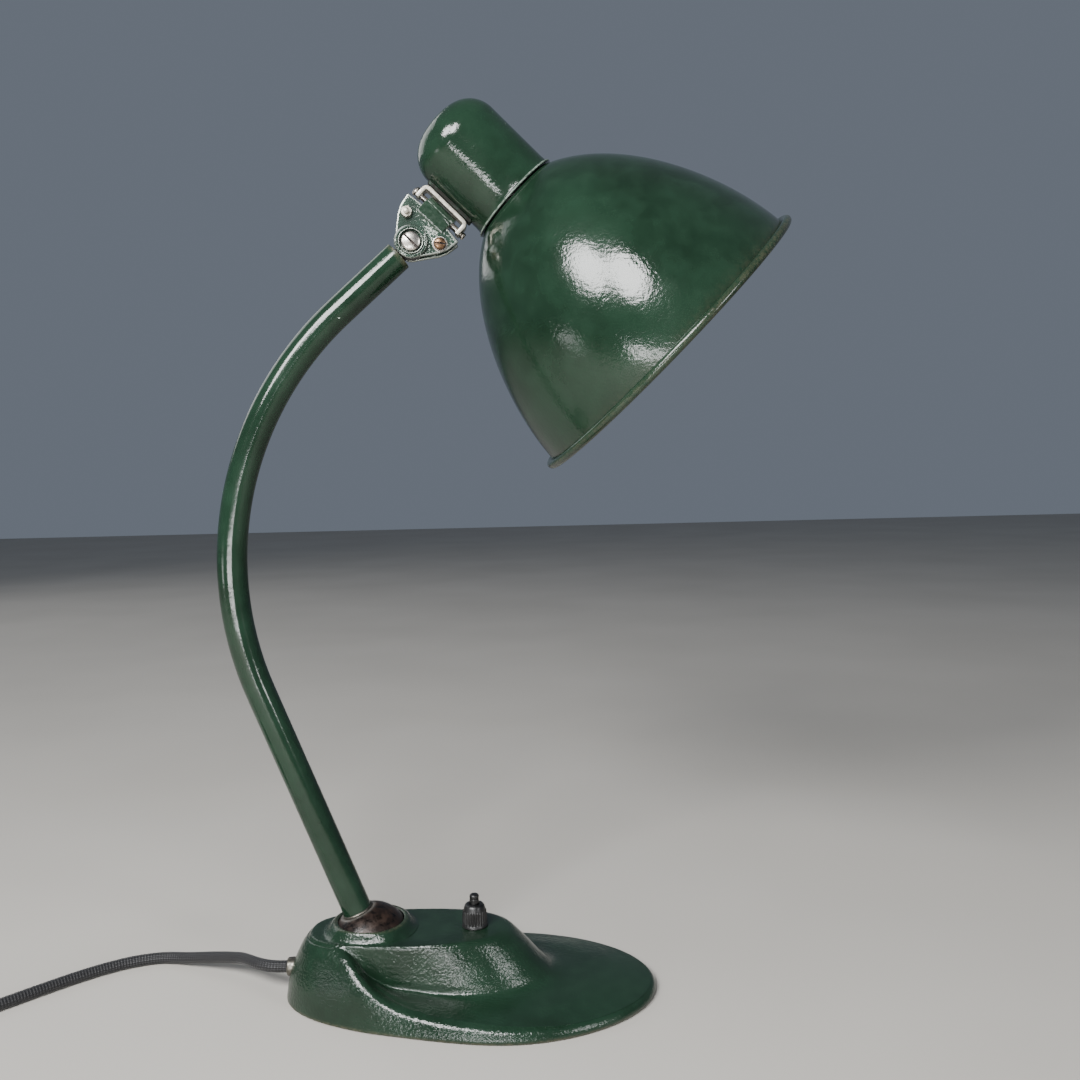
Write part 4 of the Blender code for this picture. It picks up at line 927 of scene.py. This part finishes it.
# %% The pivot screw in its ringed washer
ring_profile = soften([(6.0, -6.2), (9.0, -6.2), (9.0, -7.3), (8.6, -7.8), (7.2, -7.9), (6.9, -7.5),
                       (6.7, -8.5), (6.3, -8.6), (5.95, -8.0)], 0.3, True, 4)
ring_wear = np.exp(-((ring_profile[:, 0] - 6.5) / 0.3) ** 2) * (ring_profile[:, 1] < -7.8) \
    + np.exp(-((ring_profile[:, 0] - 8.8) / 0.3) ** 2) * 0.6 - 0.15
across_clamp("pivot_ringed_washer", ring_profile, (0.0, 0.0), clamp_finish,
             ("pivot_cup_washer",), 96, ring_wear)
pivot_screw = across_clamp("pivot_screw_head", domed_head(5.2, -6.4, 2.3, 2.55, 13.0), (0.0, 0.0), steel,
                           ("pivot_screw",), 72, ring=False)
cut_slot(pivot_screw, (0.0, 0.0), 1.25, -7.4, math.radians(-2.0))
across_clamp("pivot_back_washer", soften([(2.9, 6.2), (8.2, 6.2), (8.2, 7.9), (2.9, 7.9)], 0.4, True),
             (0.0, 0.0), clamp_finish, ("pivot_rear_washer",), 72,
             np.full(20, 0.3))

# %% The small clamp screws
lower = (9.7, -12.0)
upper = (9.7, 12.0)
lower_screw = across_clamp("clamp_screw_brass", domed_head(3.3, -7.0, 2.2, 1.45, 9.4), lower, brass,
                           ("clamp_screw_lower",), 56, ring=False)
cut_slot(lower_screw, lower, 0.9, -8.1, math.radians(38.0), 5.0)
across_clamp("clamp_washer_thin", soften([(1.6, -6.15), (4.1, -6.15), (4.1, -6.9), (1.6, -6.9)], 0.2, True),
             lower, steel, ("clamp_washer_lower",), 56)
thread = [(1.5 - 0.13 * (k % 2), -8.9 - 0.35 * k) for k in range(5)]
across_clamp("clamp_screw_zinc", [(0.0, 8.4), (2.0, 8.2), (2.9, 7.4), (2.9, 6.2), (1.5, 6.2), (1.5, -8.6)]
             + thread + [(1.0, -10.6), (0.0, -10.6)], upper, zinc, ("clamp_screw_upper",), 48,
             ring=False)


def hexagon_nut(name, across_flats, inner, outer, centre, material, replaced):
    """A hexagon whose corners are turned down by a cone: radius is the smaller of the two."""
    turn = np.linspace(0.0, 2.0 * math.pi, 72, endpoint=False)
    flat = across_flats / 2.0 / np.cos((turn + math.pi / 6.0) % (math.pi / 3.0) - math.pi / 6.0)
    depths = [(0.0, inner), (1.0, inner), (1.0, outer), (0.93, outer + 0.35 * np.sign(outer)),
              (0.62, outer + 0.4 * np.sign(outer)), (0.0, outer + 0.4 * np.sign(outer))]
    rows = [np.stack([np.minimum(flat, across_flats * 0.545) * size * np.cos(turn), np.full(72, depth),
                      np.minimum(flat, across_flats * 0.545) * size * np.sin(turn)], -1)
            for size, depth in depths]
    grid = np.stack(rows) + np.array([centre[0], 0.0, centre[1]])
    return surface(name, place(grid, clamp_place), material, "clamp", replaced, poles=True)


hexagon_nut("clamp_nut_zinc", 5.6, -6.2, -8.4, upper, zinc, ("clamp_nut_upper",))
hexagon_nut("clamp_nut_brass", 5.5, 6.2, 8.4, lower, brass, ("clamp_nut_lower",))
hexagon_nut("pivot_nut_zinc", 9.0, 8.0, 12.0, (0.0, 0.0), zinc, ("pivot_nut",))
print("fasteners made")

# %% [markdown]
# ## The hinge between clamp and cap
# A zinc-plated strip with two small ears holds the ends of the hinge pin, and two rivets hold
# the strip and a packing piece to the cap.  The strip is a U in plan, so its section is one
# folded outline carried across its width, again with rounded edges.

# %% Strip, pin and packing
def u_strip():
    """The strip as a grid of its own: a folded centre line with thickness, then its width."""
    line = soften([(20.3, -14.4), (27.75, -14.4), (27.75, 14.4), (20.3, 14.4)], 2.6, False, 8)
    heading = np.gradient(line, axis=0)
    side = np.stack([heading[:, 1], -heading[:, 0]], -1)
    side /= np.linalg.norm(side, axis=1, keepdims=True)
    section = soften([(-1.2, -4.2), (1.2, -4.2), (1.2, 4.2), (-1.2, 4.2)], 0.5, True, 4)
    x = line[:, None, 0] + side[:, None, 0] * section[None, :, 0]
    z = line[:, None, 1] + side[:, None, 1] * section[None, :, 0]
    y = np.broadcast_to(section[None, :, 1], x.shape)
    grid = np.stack([x, y, z], -1)
    caps = np.stack([np.broadcast_to(grid[k].mean(0), grid[k].shape) for k in (0, -1)])
    grid = np.concatenate([caps[:1], grid, caps[1:]])
    return surface("hinge_strip", place(grid, clamp_place), zinc, "head", ("hinge_bracket",),
                   poles=True)


u_strip()
pin_place = (place([22.3, 0.0, 0.0], clamp_place), clamp_axes)
pin_profile = soften([(0.0, -18.2), (1.7, -18.0), (2.1, -17.0), (1.6, -16.2), (1.6, 16.3), (2.7, 16.3),
                      (2.7, 17.2), (1.7, 18.2), (0.0, 18.3)], 0.4)
surface("hinge_pin_turned", place(lathe(pin_profile, 40), pin_place), steel, "head", ("hinge_pin",),
        poles=True)
rivet_profile = soften([(0.0, 25.9), (1.6, 26.0), (2.5, 26.8), (2.5, 27.5), (1.4, 27.5), (1.4, 33.0),
                        (0.0, 33.0)], 0.3)
for label, height in (("upper", 7.0), ("lower", -7.0)):
    turned = lathe(rivet_profile, 32)[..., [2, 1, 0]] * [1.0, 1.0, -1.0] + [0.0, 0.0, height]
    surface(f"strip_rivet_{label}", place(turned, clamp_place), zinc, "head", (f"bracket_rivet_{label}",),
            poles=True)
print("hinge made")

# %% [markdown]
# ## The bell shade
# Sheet steel spun over a former: a bell whose radius falls with height by a power law, a rolled
# bead at the rim, and a flat crown with a hole for the lampholder.  One closed profile holds the
# outside, the hole, the inside and the bead, and it is turned once round.

# %% Shade
SHADE_RADIUS = 88.0
SHADE_DEPTH = 120.0
SHADE_POWER = 1.6
CROWN_HEIGHT = 113.2
BEAD_RADIUS = 2.25


def bell(height):
    """Outer radius: 88 times the root of one minus (height over 120) to the power 1.6."""
    return SHADE_RADIUS * np.sqrt(1.0 - (height / SHADE_DEPTH) ** SHADE_POWER)


def shade():
    """Outside, crown hole, inside and bead as one ring section, turned round."""
    step = np.linspace(0.0, 1.0, 110)[1:]
    height = CROWN_HEIGHT * (1.0 - (1.0 - step) ** 1.5)
    outer = np.column_stack([bell(height), height])
    slope = np.gradient(outer, axis=0)
    normal = np.stack([slope[:, 1], -slope[:, 0]], -1)
    normal /= np.linalg.norm(normal, axis=1, keepdims=True)
    inner = outer - normal * 0.9
    turn = np.radians(np.linspace(196.0, 510.0, 36))
    bead = np.array([SHADE_RADIUS + BEAD_RADIUS + 0.3, 1.5]) + BEAD_RADIUS * np.stack(
        [np.cos(turn), np.sin(turn)], -1)
    crown = np.array([(20.5, CROWN_HEIGHT + 0.5), (20.3, CROWN_HEIGHT), (20.5, CROWN_HEIGHT - 0.5)])
    start = np.array([(SHADE_RADIUS - 0.9, 0.4)])
    profile = np.vstack([start, bead, outer, crown, inner[:-2][::-1]])
    around = np.linspace(0.0, 2.0 * math.pi, 256, endpoint=False)
    rim = np.exp(-((profile[:, 1] + 0.7) / 1.0) ** 2) * (profile[:, 0] > 87.5)
    beside = np.exp(-((profile[:, 0] - 93.0) / 1.2) ** 2) * 0.55
    foot = np.exp(-np.maximum(profile[:, 1] - 3.6, 0.0) / 2.6) * 0.32 * (profile[:, 0] < 88.0)
    wear = np.maximum(np.maximum(rim, beside), foot)[:, None] * (0.8 + 0.2 * np.cos(around * 2.0 + 1.0))
    return surface("shade_spun", place(lathe(profile, 256), head_place), shade_enamel, "head", ("shade",),
                   wrap_rows=True, wear=wear)


shade_piece = shade()
print("shade:", len(shade_piece.data.polygons), "faces")

# %% [markdown]
# ## The cap
# A deep drawn cup over the lampholder, with a wide round shoulder.  Its open end is turned out
# into a thin lip that sits on the shade's crown, with a pale line painted along its edge.  A cylinder
# with bevels would do, but a turned profile keeps the wall and the lip at their true thickness.

# %% Cap
CAP_RADIUS = 25.6
CAP_TOP = 171.5
CAP_BOTTOM = 114.2
CAP_CORNER = 16.5


def cap():
    """Inside and outside of the cup as one profile from pole to pole, turned round."""
    arc = np.radians(np.linspace(0.0, 90.0, 28))
    centre = np.array([CAP_RADIUS - CAP_CORNER, CAP_TOP - CAP_CORNER])
    outer = centre + CAP_CORNER * np.stack([np.cos(arc), np.sin(arc)], -1)
    outer[:, 1] += 0.9 * (1.0 - outer[:, 0] / CAP_RADIUS) ** 2
    inner = centre + (CAP_CORNER - 1.0) * np.stack([np.cos(arc[::-1]), np.sin(arc[::-1])], -1)
    lip = soften([(CAP_RADIUS - 1.0, 130.0), (CAP_RADIUS - 1.0, CAP_BOTTOM), (27.1, CAP_BOTTOM),
                  (27.2, CAP_BOTTOM + 0.9), (25.9, CAP_BOTTOM + 1.5), (25.6, 119.0)], 0.35)
    profile = np.vstack([[(0.0, CAP_TOP - 1.0)], inner, lip, [(25.6, 128.0), (25.6, 140.0)], outer,
                         [(0.0, CAP_TOP + 0.9)]])
    # A pale line is painted along the lip's outer edge.
    wear = np.exp(-((profile[:, 1] - CAP_BOTTOM - 0.7) / 0.5) ** 2) * 0.75 * (profile[:, 0] > 26.4)
    return surface("lamp_cap_drawn", place(lathe(profile, 160), head_place), cap_enamel, "head",
                   ("lamp_cap",), poles=True, wear=wear)


cap()


def packing_piece():
    """The packing under the strip: a block hollowed to the cap's radius on one side."""
    swing = np.linspace(-0.15, 0.15, 14)
    bend = CAP_RADIUS + 0.2
    hollow = np.stack([PIVOT_TO_AXIS - bend * np.cos(swing), bend * np.sin(swing)], -1)
    outline = np.vstack([hollow, [(29.4, hollow[-1, 1]), (29.4, hollow[0, 1])]])
    grid = block(outline, [(0.0, -15.2), (0.93, -15.2), (1.0, -14.8), (1.0, 14.8), (0.93, 15.2), (0.0, 15.2)])
    # The full wear value puts the near-black tint over the whole packing: painted shade in the gap between
    # strip and cap.
    return surface("cap_packing", place(grid, clamp_place), painted_shade_enamel, "head", ("bracket_saddle",),
                   poles=True, wear=np.full(len(grid), 1.6))


packing_piece()
print("cap and packing made")

# %% [markdown]
# ## The bulb
# A clear bulb with a round globe and a neck.  Glass looks like glass only when the wall has an
# inside, so the profile goes down the outside and back up the inside.

# %% Bulb
def bulb():
    """Outer and inner wall as one pole-to-pole profile."""
    arc = np.radians(np.linspace(-90.0, 40.0, 40))
    outer = np.stack([30.0 * np.cos(arc), 57.0 + 30.0 * np.sin(arc)], -1)
    inner = np.stack([29.3 * np.cos(arc), 57.0 + 29.3 * np.sin(arc)], -1)
    neck = smooth_rows([(22.9, 76.4), (17.6, 84.5), (14.5, 93.0), (13.2, 103.6)], 8)[1:]
    throat = neck - np.array([0.7, 0.0])
    profile = np.vstack([outer, neck, [(12.9, 104.0)], throat[::-1], inner[::-1]])
    profile[0, 0] = profile[-1, 0] = 0.0
    return surface("bulb_globe", place(lathe(profile, 96), head_place), glass, "head", ("bulb_glass",),
                   poles=True)


bulb()

# %% Screw cap of the bulb
def screw_cap():
    """A wave of five threads on a cylinder, closed by the insulator and the contact."""
    height = np.linspace(105.0, 123.0, 70)
    wave = 13.0 - 0.45 * (1.0 - np.cos((height - 105.0) * 2.0 * math.pi / 3.6)) / 2.0
    end = soften([(12.6, 124.0), (8.0, 127.6), (4.2, 128.6), (4.0, 130.6), (0.0, 131.0)], 0.5)
    profile = np.vstack([[(0.0, 104.4), (12.4, 104.4)], np.column_stack([wave, height]), end])
    return surface("bulb_screw_cap", place(lathe(profile, 72), head_place), brass, "head", ("bulb_cap",),
                   poles=True)


screw_cap()
print("bulb made")

# %% [markdown]
# ## The push switch
# A black bakelite collar with fine upright ribs screws down on the housing, and the round
# button stands in it.  Cutting each rib would take 26 cuts; a cosine of the angle added to the
# radius gives them all, and fades out above and below.

# %% Collar and button
button_low, button_high = (np.array(corner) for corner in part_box("switch_button"))
switch_place = ((button_low + button_high) / 2.0 * [1.0, 1.0, 0.0], np.eye(3))


COLLAR_RIBS = 26


def ribbed_collar():
    """A conical ring whose radius carries 26 ribs where the outside is exposed."""
    profile = np.array(soften([(4.0, 37.1), (7.3, 37.1), (7.2, 38.2), (6.8, 39.0), (6.3, 46.2), (5.6, 48.6),
                               (4.9, 49.6), (3.0, 49.8), (2.85, 46.0), (4.0, 44.0)], 0.5, True, 5))
    height = np.linspace(39.4, 46.0, 14)
    inside = (profile[:, 0] > 6.2) & (profile[:, 1] > 39.2) & (profile[:, 1] < 46.1)
    first = int(np.argmax(inside))
    straight = np.column_stack([6.78 - (height - 39.4) * 0.066, height])
    profile = np.vstack([profile[:first], straight, profile[first:][~inside[first:]]])
    grid = lathe(profile, 208)
    turn = np.linspace(0.0, 2.0 * math.pi, 208, endpoint=False)
    share = np.clip((profile[:, 1] - 38.9) / 0.8, 0.0, 1.0) * np.clip((46.6 - profile[:, 1]) / 0.8, 0.0, 1.0)
    share = share * (profile[:, 0] > 6.0)
    ribs = 1.0 + share[:, None] * 0.045 * np.cos(COLLAR_RIBS * turn)
    grid[..., :2] *= ribs[..., None]
    return surface("switch_collar_ribbed", place(grid, switch_place), bakelite, "base", ("switch_collar",),
                   wrap_rows=True)


ribbed_collar()
button_profile = soften([(0.0, 41.0), (2.6, 41.0), (2.6, 52.2), (2.4, 52.6), (2.6, 53.0), (2.6, 54.4),
                         (2.0, 55.1), (0.0, 55.3)], 0.35)
surface("switch_button_turned", place(lathe(button_profile, 56), switch_place), bakelite, "button",
        ("switch_button",), poles=True)
print("switch made")

# %% [markdown]
# ## The gland
# A small turned ring in the nose, where the cord leaves the foot.  Its profile has the bore and
# both rounded ends, and its axis lies along the lamp, so its place swaps the axes round.

# %% Gland
LYING_ALONG_X = np.array([[0.0, 1.0, 0.0], [0.0, 0.0, 1.0], [1.0, 0.0, 0.0]])
gland_place = (np.array([0.0, 0.0, GLAND_FACE[2] * MM]), LYING_ALONG_X)
gland_profile = soften([(4.9, -102.2), (5.1, -101.0), (5.1, -92.0), (3.5, -92.0), (3.45, -101.6),
                        (3.8, -102.6), (4.5, -102.7)], 0.3, True)
surface("cord_gland_ring", place(lathe(gland_profile, 64), gland_place), dull_zinc, "base", ("cord_gland",),
        wrap_rows=True)
print("gland made")

# %% [markdown]
# ## Finishes for the frame's own nodes
# Plates, pins and inner parts whose worked shapes are already right keep them and only get a
# finish.  Their meshes are never touched.

# %% Repaint the kept nodes
KEPT = {
    "felt_pad": felt, "bottom_plate": zinc, "pressure_plate": steel, "pressure_cup": steel,
    "cup_lining": leather, "arm_knuckle": iron, "arm_flex": bakelite, "cord_inner_end": bakelite,
    "switch_body": bakelite, "plug_pin_1": brass, "plug_pin_2": brass, "shade_ring": bakelite,
    "lampholder_shell": bakelite, "lampholder_insert": porcelain, "clamp_spacer_upper": zinc,
    "clamp_spacer_lower": zinc,
}
KEPT.update({f"{kind}_screw_{number}": steel for kind in ("plate", "pressure") for number in (1, 2, 3)})
for node_name, finish in KEPT.items():
    mesh = frame["nodes"][node_name].data
    mesh.materials.clear()
    mesh.materials.append(finish)
shown = [name for name, node in frame["nodes"].items() if not node.hide_render]
print("kept nodes:", len(KEPT), "without a finish:", sorted(set(shown) - set(KEPT)))

# %% [markdown]
# ## Floor and light
# Gloss enamel is a mirror for its lights.  Two round soft boxes beside each other make the pair
# of highlights on the shade and the line down the cap.  A long low box in front draws the glare
# along the wall of the foot, and a faint one at the left its nose.  A box at the side fills the
# right flank, and a wide one behind keeps the far side from going black.

# %% Floor
floor_mesh = bpy.data.meshes.new("floor")
floor_corners = [(-4.0, -3.0, 0.0), (4.0, -3.0, 0.0), (4.0, 5.0, 0.0), (-4.0, 5.0, 0.0)]
floor_mesh.from_pydata(floor_corners, [], [(0, 1, 2, 3)])
floor = bpy.data.objects.new("floor", floor_mesh)
floor_finish, floor_tree, floor_shader = new_material("pale_matt_board", 0.85)
floor_cloud = band(floor_tree, grain(floor_tree, 300.0), 0.3, 0.7)
floor_tree.links.new(blend_colours(floor_tree, floor_cloud, linear("#aca8a1"), linear("#b3afa8")),
                     floor_shader.inputs["Base Color"])
floor_mesh.materials.append(floor_finish)
bpy.context.collection.objects.link(floor)


# %% Lights
def soft_box(name, position, target, size, power, shape="RECTANGLE"):
    """An area light of a given outline at a place, facing a target."""
    data = bpy.data.lights.new(name, "AREA")
    data.shape = shape
    data.size, data.size_y = size
    data.energy = power
    box = bpy.data.objects.new(name, data)
    position, target = np.array(position), np.array(target)
    away = (position - target) / np.linalg.norm(position - target)
    right = np.cross([0.0, 0.0, 1.0], away)
    right /= np.linalg.norm(right)
    turn = np.column_stack([right, np.cross(away, right), away])
    box.matrix_world = Matrix.Translation(position) @ Matrix(turn.tolist()).to_4x4()
    bpy.context.collection.objects.link(box)


LAMP_MIDDLE = (0.02, 0.0, 0.22)
soft_box("round_box_right", (-0.31, -1.12, 1.02), LAMP_MIDDLE, (0.44, 0.56), 25.0, "ELLIPSE")
soft_box("round_box_left", (-0.70, -0.92, 0.99), LAMP_MIDDLE, (0.44, 0.56), 25.0, "ELLIPSE")
soft_box("low_box", (-0.25, -1.42, 0.11), (0.0, 0.0, 0.05), (0.85, 0.12), 9.0)
soft_box("nose_box", (-1.25, -0.65, 0.13), (-0.08, 0.0, 0.03), (0.35, 0.12), 0.8)
soft_box("side_box", (1.15, -1.0, 0.62), LAMP_MIDDLE, (0.25, 0.5), 8.0)
soft_box("back_box", (-1.6, 1.4, 1.5), LAMP_MIDDLE, (1.5, 1.5), 13.0)
world = bpy.data.worlds.new("studio")
world.use_nodes = True
world.node_tree.nodes["Background"].inputs["Color"].default_value = linear("#b4c0d2")
world.node_tree.nodes["Background"].inputs["Strength"].default_value = 0.30
bpy.context.scene.world = world
print("lights placed")
